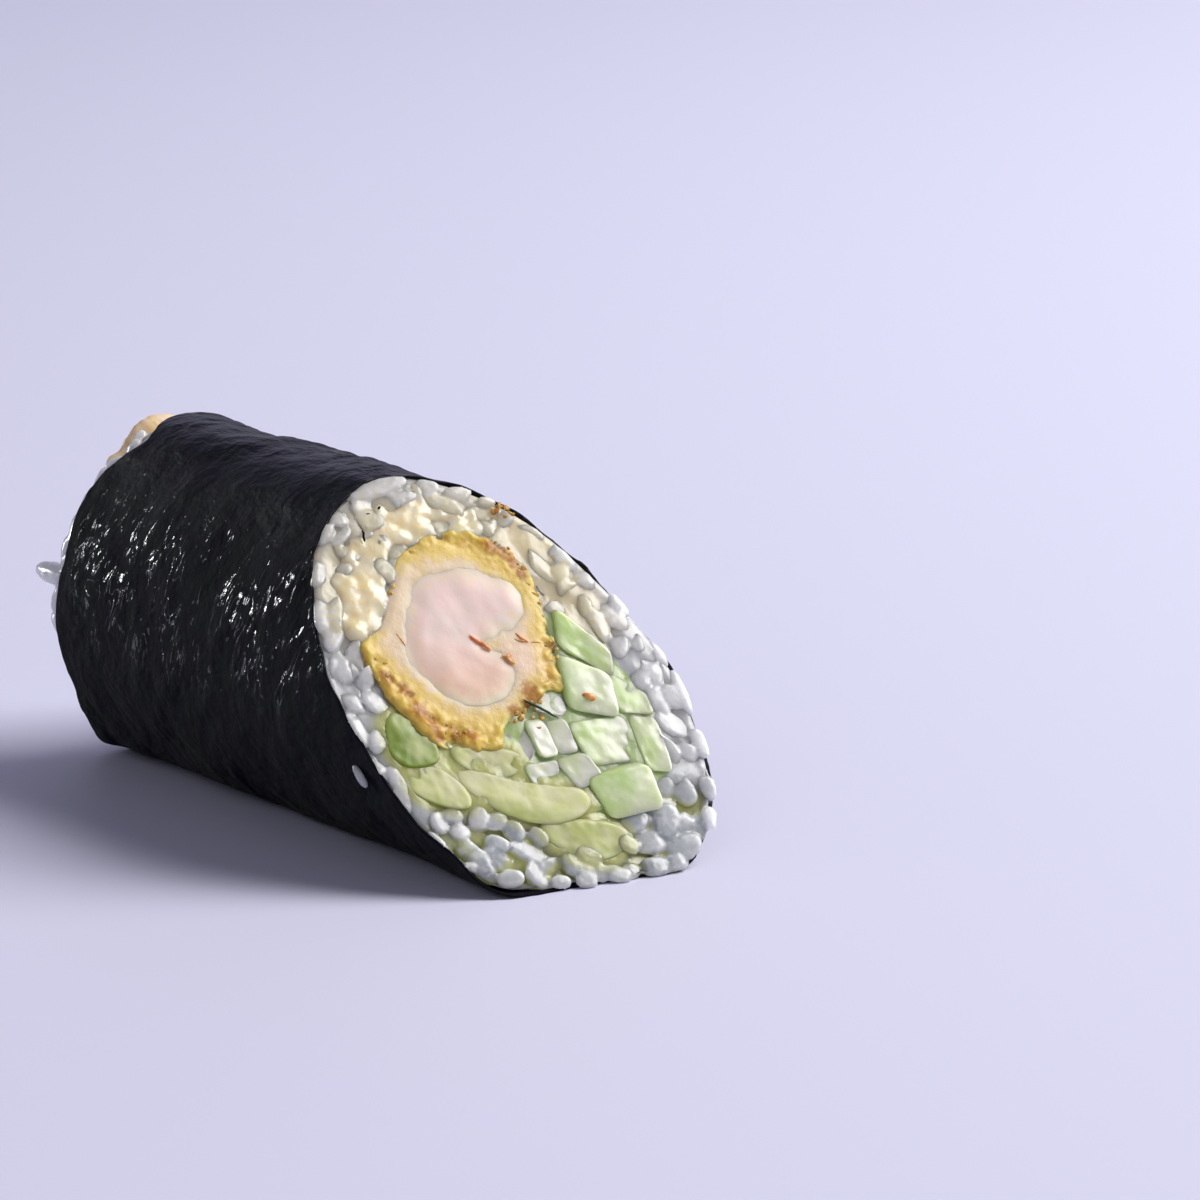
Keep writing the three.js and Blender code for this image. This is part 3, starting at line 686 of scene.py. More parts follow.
class Recipe(Nodes):
    """A material's node tree, with short ways to mix its colours and relief."""

    def __init__(self, name):
        self.material = bpy.data.materials.new(name)
        self.material.use_nodes = True
        super().__init__(self.material.node_tree)
        self.shader = self.tree.nodes["Principled BSDF"]

    def place(self, stretch=(1, 1, 1), uv=None):
        """Object coordinates in millimetres, or a piece's own map, stretched."""
        if uv:
            source = self.node("ShaderNodeUVMap", {"uv_map": uv}).outputs["UV"]
        else:
            source = self.node("ShaderNodeTexCoord").outputs["Object"]
        scale = [1000.0 * value for value in stretch]
        return self.node("ShaderNodeMapping", Vector=source, Scale=scale).outputs["Vector"]

    def spots(self, vector, size, detail=2.0, rough=0.5, distortion=0.0):
        """Noise with features of a size in millimetres."""
        made = self.node(
            "ShaderNodeTexNoise", Vector=vector, Scale=1.0 / size, Detail=detail,
            Roughness=rough, Distortion=distortion,
        )
        return made.outputs["Fac"]

    def pits(self, vector, size):
        """Smooth round pits of a size in millimetres."""
        kind = {"feature": "SMOOTH_F1"}
        made = self.node("ShaderNodeTexVoronoi", kind, Vector=vector, Scale=1.0 / size)
        return made.outputs["Distance"]

    def value(self, key):
        """A number that the piece's points carry."""
        return self.node("ShaderNodeAttribute", {"attribute_name": key}).outputs["Fac"]

    def span(self, value, low, high, to_low=0.0, to_high=1.0):
        """A value's range carried to another, held at its ends."""
        made = self.node("ShaderNodeMapRange", {"clamp": True}, Value=value)
        for key, limit in zip(("From Min", "From Max", "To Min", "To Max"),
                              (low, high, to_low, to_high)):
            made.inputs[key].default_value = limit
        return made.outputs["Result"]

    def blend(self, share, first, second):
        """A colour between two."""
        made = self.node("ShaderNodeMix", {"data_type": "RGBA"})
        self.feed(made.inputs["Factor"], share)
        for socket, value in ((made.inputs[6], first), (made.inputs[7], second)):
            if not isinstance(value, bpy.types.NodeSocket):
                value = (*value, 1.0)
            self.feed(socket, value)
        return made.outputs[2]

    def bump(self, height, depth, strength, below=None):
        """Relief of a depth in millimetres, upon the relief below it."""
        made = self.node("ShaderNodeBump", Height=height, Distance=depth * MM, Strength=strength)
        if below is not None:
            self.feed(made.inputs["Normal"], below)
        return made.outputs["Normal"]

    def relief(self, vector, *layers, rough=0.5, below=None):
        """Layers of noisy relief: size, detail, depth and strength of each."""
        for size, detail, depth, strength in layers:
            below = self.bump(self.spots(vector, size, detail, rough), depth, strength, below)
        return below

    def finish(self, **inputs):
        """The material, with its shader's inputs set."""
        for key, value in inputs.items():
            self.feed(self.shader.inputs[key.replace("_", " ")], value)
        return self.material


def darker(colour, by):
    """A colour times a number."""
    return tuple(channel * by for channel in colour)


def soft(weight, radius, depth):
    """How light sinks into a food: how much of it, how far for each colour, and how deep."""
    return {"Subsurface_Weight": weight, "Subsurface_Radius": radius, "Subsurface_Scale": depth}


def nori_material():
    """Near black, with satin patches and thin bright lines on crumpled folds."""
    recipe = Recipe("Nori")
    at = recipe.place()
    purple = colours().nori
    green = (purple[0] * 0.85, purple[1] * 1.35, purple[2] * 0.7)
    colour = recipe.blend(recipe.span(recipe.spots(at, 5.0, 3.0), 0.45, 0.62), purple, green)
    flecks = recipe.spots(at, 0.5, 2.0)
    colour = recipe.blend(recipe.span(flecks, 0.68, 0.8, 0, 0.3), colour, (0.025, 0.03, 0.015))
    sheet = recipe.place(uv="Sheet")
    turned = recipe.node("ShaderNodeMapping", Vector=sheet, Rotation=(0.0, 0.0, 0.2))
    along = recipe.node("ShaderNodeMapping", Vector=turned, Scale=(0.33, 1.0, 1.0))
    patches = recipe.span(recipe.spots(along, 2.6, 2.0, 0.5, 0.8), 0.44, 0.53)
    patches = recipe.math("MULTIPLY", patches, recipe.value("crumpled"))
    crumple = recipe.spots(along, 1.9, 1.4, 0.5, 1.6)
    beside = recipe.math("ABSOLUTE", recipe.math("SUBTRACT", crumple, 0.5), 0.0)
    gloss = recipe.math("MULTIPLY", recipe.span(beside, 0.016, 0.046, 1.0, 0.0), patches)
    normal = recipe.relief(at, (2.2, 2.0, 0.65, 0.75), (1.0, 2.0, 0.2, 0.7))
    normal = recipe.relief(at, (0.5, 3.0, 0.07, 0.6), rough=0.6, below=normal)
    folded = recipe.bump(recipe.math("MULTIPLY", patches, crumple), 0.9, 0.9, normal)
    roughness = recipe.span(recipe.value("satin"), 0.0, 1.0, 0.9, 0.34)
    return recipe.finish(
        Base_Color=colour, Roughness=roughness, Normal=normal, Specular_IOR_Level=0.11,
        Coat_Weight=gloss, Coat_Roughness=0.12, Coat_Normal=folded,
    )


def rice_material():
    """Moist white rice: painted highlights on what stands out, painted shade, and tints from what
    lies beside it.
    """
    recipe = Recipe("Rice")
    at = recipe.place()
    white = colours().rice
    dull_and_painted_shade, lit_edge, mashed_over = (0.28, 0.31, 0.33), (0.93, 0.93, 0.95), (0.58, 0.60, 0.19)
    cloud = recipe.spots(at, 1.4, 2.0)
    # Painted shade: the shade value darkens the bed between the grains and the rice low down; it
    # also makes some grains duller at random.
    colour = recipe.blend(recipe.value("shade"), white, dull_and_painted_shade)
    colour = recipe.blend(recipe.span(cloud, 0.35, 0.7, 0, 0.25), colour, darker(white, 0.84))
    # Painted highlight: points that stand out are lightened towards a near white, less where the
    # rice is shaded.
    bulge = recipe.math("ADD", recipe.value("bulge"), recipe.span(cloud, 0.3, 0.7, -0.01, 0.01))
    lit = recipe.math("MULTIPLY", recipe.span(bulge, 0.01, 0.05, 0, 0.8),
                      recipe.span(recipe.value("shade"), 0.0, 1.0, 1.0, 0.25))
    colour = recipe.blend(lit, colour, lit_edge)
    # Painted shade: points that lie in grooves are darkened.
    colour = recipe.blend(recipe.span(bulge, -0.01, -0.06, 0, 0.6), colour, darker(white, 0.6))
    colour = recipe.blend(recipe.value("tint"), colour, colours().rice_tint)
    colour = recipe.blend(recipe.value("green"), colour, darker(colours().cucumber, 0.92))
    colour = recipe.blend(recipe.value("yellow"), colour, mashed_over)
    return recipe.finish(
        Base_Color=colour, Roughness=recipe.span(cloud, 0.3, 0.7, 0.13, 0.32),
        Normal=recipe.relief(at, (1.3, 1.0, 0.12, 0.7), (0.35, 2.0, 0.03, 0.5)),
        Specular_IOR_Level=0.42, **soft(1.0, (1.0, 1.0, 1.05), 0.0048),
    )


def meat_material():
    """Pale pink meat, warmer low down and at its edge."""
    recipe = Recipe("Shrimp meat")
    at = recipe.place()
    clouded, warm, creamy_edge = (0.79, 0.64, 0.57), (0.80, 0.53, 0.39), (0.84, 0.65, 0.46)
    fibres = recipe.spots(recipe.place((0.35, 1.0, 1.0)), 0.9, 2.0, 0.5, 0.4)
    cloud = recipe.span(recipe.spots(at, 3.4, 2.0), 0.35, 0.68)
    colour = recipe.blend(cloud, colours().meat, clouded)
    colour = recipe.blend(recipe.value("low"), colour, warm)
    wobble = recipe.span(recipe.spots(at, 1.2, 3.0), 0.3, 0.7, -0.8, 0.8)
    edge = recipe.span(recipe.math("ADD", recipe.value("deep"), wobble), 0.2, 1.9, 1.0, 0.0)
    colour = recipe.blend(edge, colour, creamy_edge)
    normal = recipe.relief(at, (0.4, 2.0, 0.012, 0.5), below=recipe.bump(fibres, 0.03, 0.5))
    return recipe.finish(
        Base_Color=colour, Roughness=0.36, Normal=normal, Specular_IOR_Level=0.45,
        **soft(0.6, (1.0, 0.5, 0.4), 0.0022),
    )


def batter_material():
    """Batter that turns from creamy beside the meat to golden, with browned places."""
    recipe = Recipe("Fried batter")
    at = recipe.place()
    creamy, creamy_gold = (0.84, 0.65, 0.44), (0.82, 0.59, 0.17)
    bright_gold, meaty, deep_gold = (0.81, 0.59, 0.14), (0.81, 0.60, 0.44), (0.62, 0.34, 0.04)
    wobble = recipe.math("MULTIPLY", recipe.math("SUBTRACT", recipe.spots(at, 1.5, 3.0), 0.5), 2.2)
    away = recipe.math("ADD", recipe.value("away"), wobble)
    colour = recipe.blend(recipe.span(away, 0.0, 1.4), creamy, creamy_gold)
    yellow = recipe.span(recipe.spots(at, 1.9, 3.0), 0.4, 0.56, 0.0, 0.85)
    yellow = recipe.math("MULTIPLY", yellow, recipe.span(away, -0.1, 0.8))
    colour = recipe.blend(yellow, colour, bright_gold)
    colour = recipe.blend(recipe.span(away, 1.5, 3.1), colour, colours().batter)
    streaks = recipe.span(recipe.spots(recipe.place((1.0, 0.5, 1.0)), 0.7, 2.0), 0.35, 0.6, 0.5, 1)
    fleshy = recipe.math("MULTIPLY", recipe.value("fleshy"), streaks)
    colour = recipe.blend(fleshy, colour, meaty)
    deep = recipe.span(recipe.spots(at, 1.1, 3.0), 0.46, 0.66, 0, 0.6)
    deep = recipe.math("MULTIPLY", deep, recipe.span(away, 1.5, 3.0))
    colour = recipe.blend(deep, colour, deep_gold)
    speck = recipe.math("ADD", recipe.value("brown"),
                        recipe.math("SUBTRACT", recipe.spots(at, 0.8, 3.0), 0.5))
    colour = recipe.blend(recipe.span(speck, 0.35, 0.75), colour, colours().crumb)
    rough_share = recipe.span(away, 1.2, 3.2, 0.1, 1.0)
    normal = recipe.bump(recipe.math("MULTIPLY", recipe.pits(at, 0.8), rough_share), 0.25, 0.8)
    return recipe.finish(
        Base_Color=colour, Roughness=0.42,
        Normal=recipe.relief(at, (0.4, 4.0, 0.06, 0.7), rough=0.6, below=normal),
        Specular_IOR_Level=0.42, **soft(0.7, (1.0, 0.7, 0.35), 0.002),
    )


def crumb_material():
    """Crumbs from golden to dark brown, by their tint."""
    recipe = Recipe("Fried crumbs")
    golden, dark = (0.70, 0.45, 0.085), (0.24, 0.085, 0.015)
    tone = recipe.value("tint")
    colour = recipe.blend(recipe.span(tone, 0.0, 0.6), golden, colours().crumb)
    colour = recipe.blend(recipe.span(tone, 0.7, 1.0), colour, dark)
    return recipe.finish(
        Base_Color=colour, Roughness=0.42, Specular_IOR_Level=0.5,
        Normal=recipe.relief(recipe.place(), (0.3, 3.0, 0.08, 0.9)),
        **soft(0.15, (1.0, 0.5, 0.15), 0.0008),
    )


def sauce_material():
    """Creamy sauce with paler clouds and small yellow patches."""
    recipe = Recipe("Creamy sauce")
    at = recipe.place()
    paler, yellow = (0.88, 0.78, 0.58), (0.93, 0.71, 0.30)
    cloud = recipe.span(recipe.spots(at, 1.5, 2.0), 0.35, 0.7)
    colour = recipe.blend(cloud, colours().sauce, paler)
    patches = recipe.span(recipe.spots(at, 0.7, 3.0), 0.5, 0.64, 0, 0.5)
    colour = recipe.blend(patches, colour, yellow)
    return recipe.finish(
        Base_Color=colour, Roughness=0.2, Specular_IOR_Level=0.5,
        Normal=recipe.relief(at, (0.8, 2.0, 0.06, 0.6), (0.3, 2.0, 0.02, 0.5)),
        **soft(0.8, (1.0, 0.85, 0.55), 0.0034),
    )


def cucumber_material():
    """Wet cucumber flesh, paler by each stick's own share and greener at its rim."""
    recipe = Recipe("Cucumber")
    paler, greener = (0.75, 0.80, 0.58), (0.44, 0.60, 0.20)
    cloud = recipe.spots(recipe.place(), 2.2, 2.0)
    tone = recipe.math("ADD", recipe.value("pale"), recipe.span(cloud, 0.3, 0.7, -0.35, 0.35), True)
    colour = recipe.blend(tone, colours().cucumber, paler)
    rim = recipe.span(recipe.value("rim"), 0.7, 1.0, 0.0, 0.45)
    colour = recipe.blend(rim, colour, greener)
    fibres = recipe.relief(recipe.place((0.3, 1.0, 1.0)), (0.7, 2.0, 0.04, 0.5))
    return recipe.finish(
        Base_Color=colour, Roughness=recipe.span(cloud, 0.3, 0.7, 0.17, 0.32), Normal=fibres,
        Specular_IOR_Level=0.55, **soft(0.9, (0.85, 1.0, 0.6), 0.0035),
    )


def avocado_material():
    """Yellow green avocado flesh, darker towards its skin side."""
    recipe = Recipe("Avocado")
    paler, dark_green = (0.70, 0.68, 0.40), (0.19, 0.28, 0.02)
    cloud = recipe.span(recipe.spots(recipe.place(), 2.4, 2.0), 0.35, 0.7)
    colour = recipe.blend(cloud, colours().avocado, paler)
    colour = recipe.blend(recipe.value("green"), colour, dark_green)
    fibres = recipe.relief(recipe.place((0.4, 1.0, 1.0)), (0.8, 3.0, 0.04, 0.6))
    return recipe.finish(
        Base_Color=colour, Roughness=0.4, Normal=fibres, Specular_IOR_Level=0.5,
        **soft(0.5, (0.9, 1.0, 0.5), 0.003),
    )


def settle(piece, material, slot, *nodes):
    """Gives a piece its material, hangs it under the root body and hides the CAD parts it stands
    for.
    """
    piece.data.materials.clear()
    piece.data.materials.append(material)
    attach(piece, "root")
    if nodes:
        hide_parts(*nodes)


# The repeated pieces: grains and crumbs set on points by Geometry Nodes.


def grain_shape():
    """One cooked grain of unit size: a blunt spindle, a little bent."""
    columns, heights = GRAIN_SIDES, GRAIN_HEIGHTS
    angle = np.linspace(0, math.tau, columns, endpoint=False)
    rings = []
    for height in heights:
        radius = 0.5 * (1 - np.abs(2 * height) ** 2.6) ** 0.5
        across = radius * np.cos(angle) + 0.10 * (height ** 2 - 0.08)
        rings.append(np.column_stack([across, radius * np.sin(angle), np.full(columns, height)]))
    points = np.vstack(rings + [[[0.02, 0, -0.5]], [[0.02, 0, 0.5]]])
    faces = grid_faces(len(heights), columns)
    count = len(heights) * columns
    for column in range(columns):
        after = (column + 1) % columns
        faces.append((count, after, column))
        faces.append((count - columns + column, count - columns + after, count + 1))
    return mesh_object("Grain shape", points, faces)


def crumb_shape():
    """One crumb of unit size: a flake with twelve uneven corners."""
    golden = (1 + 5 ** 0.5) / 2
    corners = []
    for a, b in itertools.product((-1, 1), (-golden, golden)):
        corners += [(0, a, b), (a, b, 0), (b, 0, a)]
    corners = np.array(corners, float)
    corners *= (0.30 * (1 + 0.28 * noise(corners, 0.9, 3)))[:, None]
    faces = []
    for trio in itertools.combinations(range(12), 3):
        a, b, c = corners[list(trio)]
        side = (corners - a) @ np.cross(b - a, c - a)
        side[list(trio)] = 0
        if (side <= 1e-9).all():
            faces.append(trio)
        elif (side >= -1e-9).all():
            faces.append(trio[::-1])
    return mesh_object("Crumb shape", corners * [1, 0.8, 0.9], faces)


def sprinkle_tree():
    """Sets a shape on points that carry their own turn, stretch and tint."""
    tree = Nodes(bpy.data.node_groups.new("Sprinkle", "GeometryNodeTree"))
    put = tree.tree.interface.new_socket
    put("Points", in_out="INPUT", socket_type="NodeSocketGeometry")
    put("Shape", in_out="INPUT", socket_type="NodeSocketObject")
    for name in ("Length", "Width", "Height", "Unevenness", "Uneven size"):
        put(name, in_out="INPUT", socket_type="NodeSocketFloat")
    put("Seed", in_out="INPUT", socket_type="NodeSocketInt")
    put("Finish", in_out="INPUT", socket_type="NodeSocketMaterial")
    put("Geometry", in_out="OUTPUT", socket_type="NodeSocketGeometry")

    def carried(key):
        kind = {"data_type": "FLOAT_VECTOR"}
        return tree.node("GeometryNodeInputNamedAttribute", kind, Name=key).outputs["Attribute"]

    start = tree.node("NodeGroupInput").outputs
    shape = tree.node(
        "GeometryNodeObjectInfo", {"transform_space": "ORIGINAL"}, Object=start["Shape"]
    )
    size = tree.node(
        "ShaderNodeCombineXYZ", X=start["Width"], Y=start["Height"], Z=start["Length"]
    )
    scale = tree.node("ShaderNodeVectorMath", {"operation": "MULTIPLY"})
    tree.feed(scale.inputs[0], size)
    tree.feed(scale.inputs[1], carried("stretch"))
    rotation = tree.node("FunctionNodeEulerToRotation", Euler=carried("turn"))
    place = tree.node(
        "GeometryNodeInstanceOnPoints", Points=start["Points"],
        Instance=shape.outputs["Geometry"], Rotation=rotation, Scale=scale,
    )
    real = tree.node("GeometryNodeRealizeInstances", Geometry=place)
    uneven = tree.node(
        "ShaderNodeTexNoise", {"noise_dimensions": "4D"}, Detail=1.0, W=start["Seed"],
        Scale=tree.math("DIVIDE", 1.0, start["Uneven size"]),
    )
    centred = tree.math("SUBTRACT", uneven.outputs["Fac"], 0.5)
    push = tree.node(
        "ShaderNodeVectorMath", {"operation": "SCALE"},
        Scale=tree.math("MULTIPLY", centred, start["Unevenness"]),
    )
    tree.feed(push.inputs[0], tree.node("GeometryNodeInputNormal").outputs["Normal"])
    move = tree.node("GeometryNodeSetPosition", Geometry=real, Offset=push)
    dress = tree.node("GeometryNodeSetMaterial", Geometry=move, Material=start["Finish"])
    tree.node("NodeGroupOutput", Geometry=dress)
    return tree.tree


def sprinkle(name, spots, shape, material, **inputs):
    """A plain mesh of shapes set on spots: (place, along, flat, stretch, tint) each."""
    tree = bpy.data.node_groups.get("Sprinkle") or sprinkle_tree()
    places, alongs, flats, stretches, tints = zip(*spots)
    turns = []
    for along, flat in zip(alongs, flats):
        third = Vector(along).normalized()
        first = Vector(flat).cross(third).normalized()
        turns.append(Matrix((first, third.cross(first), third)).transposed().to_euler())
    holder = mesh_piece(name + " points", places, [])
    store(holder.data, "turn", np.array(turns))
    store(holder.data, "stretch", np.array(stretches))
    store(holder.data, "tint", np.array(tints))
    draw = np.random.default_rng(sizes().seed)
    store(holder.data, "shade", draw.random(len(spots)) ** 1.5)
    modifier = holder.modifiers.new("Sprinkle", "NODES")
    modifier.node_group = tree
    inputs = {"Shape": shape, "Finish": material, "Seed": sizes().seed, **inputs}
    for item in tree.interface.items_tree:
        key = item.name.replace(" ", "_")
        if item.in_out == "INPUT" and key in inputs:
            modifier[item.identifier] = inputs[key]
    evaluated = holder.evaluated_get(bpy.context.evaluated_depsgraph_get())
    result = bpy.data.meshes.new_from_object(evaluated)
    holder.modifiers.remove(modifier)
    bpy.data.objects.remove(holder)
    bpy.data.objects.remove(shape)
    result.name = name
    return new_object(name, result)


# The rice.


def tint_at(y, z):
    """How much sauce has coloured the rice at a place across the roll."""
    total = sum(hump_at(place, y, z) for place in TINTED_PLACES)
    return np.minimum(1.0, 1.4 * total) * (1 - 0.6 * np.clip(z - 37.5, 0, 1))


def filling_lines():
    """Outlines at the cut that grains keep out of."""
    lines = [smooth_outline(BATTER_OUTLINE, 60)]
    lines += [stick_outline(piece, 24) for piece in CUCUMBER_STICKS]
    lines += [slice_outline(piece, 24) for piece in AVOCADO_SLICES]
    return lines


def filling_hull():
    """The outline drawn tight round the sticks and slices that lie against each other."""
    lines = filling_lines()[1:-1]
    return grown(resample(hull(np.vstack(lines)), 80), -0.5)


def hull(points):
    """The convex outline of points, counterclockwise."""
    points = sorted(map(tuple, points))
    half = []
    for order in (points, points[::-1]):
        line = []
        for point in order:
            while len(line) > 1 and (
                (line[-1][0] - line[-2][0]) * (point[1] - line[-2][1])
                <= (line[-1][1] - line[-2][1]) * (point[0] - line[-2][0])
            ):
                line.pop()
            line.append(point)
        half += line[:-1]
    return np.array(half)


def is_free(lines, y, z, grow):
    """Whether a place lies outside every closed line, grown outwards."""
    return not any(inside(grown(line, grow), y, z) for line in lines)


class Packing:
    """Grains that lie in a plane without running through each other."""

    def __init__(self, closeness):
        self.closeness = closeness
        self.sticks = np.zeros((0, 5, 2))
        self.widths = np.zeros(0)

    def samples(self, centre, run):
        """Five places along a grain."""
        return centre + np.linspace(-1, 1, 5)[:, None] * run

    def fits(self, centre, run, width):
        """Whether a grain keeps its distance from those taken."""
        if not len(self.sticks):
            return True
        own = self.samples(centre, run)
        apart = np.linalg.norm(self.sticks[:, :, None] - own[None, None], axis=-1).min(axis=(1, 2))
        return bool((apart > (self.widths + width) / 2 * self.closeness).all())

    def take(self, centre, run, width):
        """Adds a grain."""
        self.sticks = np.concatenate([self.sticks, self.samples(centre, run)[None]])
        self.widths = np.append(self.widths, width)


def in_cut(y, z, proud=0.0):
    """A place that stands out of the cut by proud."""
    return np.array([cut_at(y, z), y, z]) + cut_frame()[0] * proud


def grain_spot(start, end, width, tint):
    """A grain between two places: where it is set and how it is turned and stretched."""
    run = end - start
    long = np.linalg.norm(run)
    height = width * 0.92
    stretch = (width / mm("grain_width"), height / mm("grain_height"), long / mm("grain_length"))
    return (start + end) / 2, run / long, cut_frame()[0], stretch, tint


def grains_that_show():
    """The grains that stand out in the cut, each with a place of its own."""
    draw = random.Random(sizes().seed)
    spots = []
    for (y1, z1), (y2, z2), width in SHOWN_GRAINS:
        proud = draw.uniform(-0.25, 0.25) - 0.1 * width
        ends = in_cut(y1, z1, proud), in_cut(y2, z2, proud + draw.uniform(-0.35, 0.35))
        tint = tint_at((y1 + y2) / 2, (z1 + z2) / 2) * draw.uniform(0.65, 1.0)
        spots.append(grain_spot(*ends, width * 1.12, tint))
    return spots


def grains_at_rim(shown):
    """A row of grains along the wrap's rim, looser on its left half."""
    draw = random.Random(sizes().seed + 4)
    taken = [np.array(place[1:]) for place, *_ in shown]
    first, top, last = -78.0, 95, 280
    lowest, clear_of_shown = 1.3, 1.6
    spots = []
    degrees = first
    while degrees < last:
        angle = math.radians(degrees)
        width, long = draw.uniform(2.1, 2.8), draw.uniform(4.0, 6.4)
        radius = skin_radius(angle, 0.0) - width * 0.5
        radius -= 0.45 * (1 - tucked(angle) / TUCK)
        half = long / 2 / radius
        sinks = [draw.uniform(0, 0.5), 0.0]
        if degrees > top:
            sinks = draw.sample((0.0, draw.uniform(0.3, 1.8)), 2)
        ends = []
        for turn, sink in zip((-half, half), sinks):
            _, y, z = on_roll(0.0, angle + turn, radius - sink)
            proud = -0.45 * width * 0.5 + draw.uniform(-0.15, 0.2)
            ends.append(in_cut(y, max(z, lowest), proud))
        middle = (ends[0] + ends[1])[1:] / 2
        if min(np.linalg.norm(place - middle) for place in taken) > clear_of_shown:
            tint = tint_at(*middle) * draw.uniform(0.2, 0.7)
            spots.append(grain_spot(*ends, width, tint))
        degrees += math.degrees(long * (0.62 if degrees < top else 0.8) / radius)
    return spots


def grains_between(shown, seed, depth, closeness, tries):
    """Grains in the slanted cut, mostly along the wrap, between or under those that show."""
    draw = random.Random(seed)
    normal, across, upward = cut_frame()
    lines = filling_lines()
    blocked = lines + [filling_hull()]
    packing = Packing(closeness)
    origin = np.array([0, 0, CUT_HEIGHT])
    length, width = mm("grain_length"), mm("grain_width")
    half_width, low, high, lowest = 21, 0.4, 40, 1.25
    clear_of_filling, near_wrap = 0.6, 17

    def flat(vector):
        return np.array([vector @ across, vector @ upward])

    for place, along, _, stretch, _ in shown:
        half = max(0.1, length * stretch[2] - width * stretch[0]) / 2
        packing.take(flat(place - origin), flat(along) * half, width * stretch[0])
    spots = []
    for attempt in range(tries):
        y, z = draw.uniform(-half_width, half_width), draw.uniform(low, high)
        late = attempt / tries
        angle, reach = polar(y, z)
        wide = width * draw.uniform(0.85, 1.15)
        room = skin_radius(angle, 0.0) - 0.15 - wide * 0.45
        if reach > room or z < lowest or not is_free(blocked, y, z, clear_of_filling):
            continue
        if any(math.hypot(y - a, z - b) < 0.85 * radius for a, b, radius, _ in SAUCE_PLACES):
            continue
        long = length * draw.uniform(0.8, 1.15) * (1 - 0.35 * late)
        swing = draw.gauss(0, 0.45 if reach > near_wrap else 0.9)
        tangent = np.array([0.0, -math.sin(angle), math.cos(angle)])
        tangent[0] = cut_at(tangent[1], tangent[2] + CUT_HEIGHT)
        tangent /= np.linalg.norm(tangent)
        along = tangent * math.cos(swing) + np.cross(normal, tangent) * math.sin(swing)
        steep = draw.random() < 0.2 + 0.3 * late
        tilt = draw.uniform(0.5, 1.2) * draw.choice((-1, 1)) if steep else draw.gauss(0, 0.2)
        along = along * math.cos(tilt) + normal * math.sin(tilt)
        run = along * (long - wide) / 2
        tips = [np.array([y, z]) + side * 1.3 * run[1:] for side in (-1, 1)]
        if any(inside(line, *tip) for line in lines for tip in tips):
            continue
        place = in_cut(y, z, draw.uniform(-0.25, 0.25) - depth)
        centre = flat(place - origin)
        if packing.fits(centre, flat(run), wide):
            packing.take(centre, flat(run), wide)
            tint = tint_at(y, z) * draw.uniform(0.8, 1.0)
            reach_out = along * long / 2
            spots.append(grain_spot(place - reach_out, place + reach_out, wide, tint))
    return spots


def press_grains(piece, seed):
    """Flattens each grain towards the cut, as the knife and its neighbours have pressed it."""
    draw = np.random.default_rng(seed)
    normal = cut_frame()[0]
    count = len(GRAIN_HEIGHTS) * GRAIN_SIDES + 2
    grains = positions(piece.data).reshape(-1, count, 3)
    middle = grains.mean(axis=1, keepdims=True)
    for lean, low, high in ((0.2, 0.25, 0.55), (0.8, 0.9, 1.3), (0.8, 0.9, 1.3)):
        facing = normal + draw.normal(0, lean, (len(grains), 1, 3))
        facing /= np.linalg.norm(facing, axis=2, keepdims=True)
        height = ((grains - middle) * facing).sum(axis=2, keepdims=True)
        cap = draw.uniform(low, high, (len(grains), 1, 1))
        grains = grains - facing * np.clip(height - cap, 0, None) * 0.85
    points = grains.reshape(-1, 3) + MIDDLE
    x, y, z = points.T
    sunk = 0.75 * np.clip((x - cut_at(y, z)) * normal[0] - 0.12, 0, None)
    sunk += 1.6 * inside(grown(smooth_outline(BATTER_OUTLINE, 80), -0.1), y, z)
    hold_in(piece, points - normal * sunk[:, None])


def fuse(piece, cell, smoothing):
    """Joins shapes that overlap into one skin, which keeps the tint and shade of their points and
    adds painted shade low down.
    """
    source = piece.data
    near = KDTree(len(source.vertices))
    for number, vertex in enumerate(source.vertices):
        near.insert(vertex.co, number)
    near.balance()
    remesh = piece.modifiers.new("Remesh", "REMESH")
    remesh.mode = "VOXEL"
    remesh.voxel_size = cell * MM
    smooth = piece.modifiers.new("Smooth", "SMOOTH")
    smooth.iterations = smoothing
    evaluated = piece.evaluated_get(bpy.context.evaluated_depsgraph_get())
    mesh = bpy.data.meshes.new_from_object(evaluated)
    piece.data = mesh
    piece.modifiers.clear()
    shade_faces(mesh)
    nearest = [near.find(vertex.co)[1] for vertex in mesh.vertices]
    # Painted shade: the rice's shade grows towards the bottom, so the rice is darker low down.
    low = smoothstep(positions(mesh)[:, 2], 13, 3)
    for key in {"tint", "shade"} & set(source.attributes.keys()):
        values = np.empty(len(source.vertices), np.float32)
        source.attributes[key].data.foreach_get("value", values)
        if key in mesh.attributes:
            mesh.attributes.remove(mesh.attributes[key])
        values = values[nearest]
        # Painted shade: the grains' own random dullness, with shade added low down.
        if key == "shade":
            values = np.clip(0.4 * values + 0.6 * low, 0, 1)
        store(mesh, key, values)


def bulges(mesh, rounds):
    """How far each point stands out from those round it, in millimetres, evened out."""
    ends = np.empty(2 * len(mesh.edges), np.int32)
    mesh.edges.foreach_get("vertices", ends)
    first, second = ends[0::2], ends[1::2]
    count = len(mesh.vertices)
    around = np.bincount(first, minlength=count) + np.bincount(second, minlength=count)

    def evened(values):
        total = np.bincount(first, values[second], count)
        return (total + np.bincount(second, values[first], count)) / np.maximum(around, 1)

    points = positions(mesh)
    wide = points
    for _ in range(rounds):
        wide = np.column_stack([evened(column) for column in wide.T])
    out = ((points - wide) * directions(mesh)).sum(axis=1)
    return evened(evened(out))


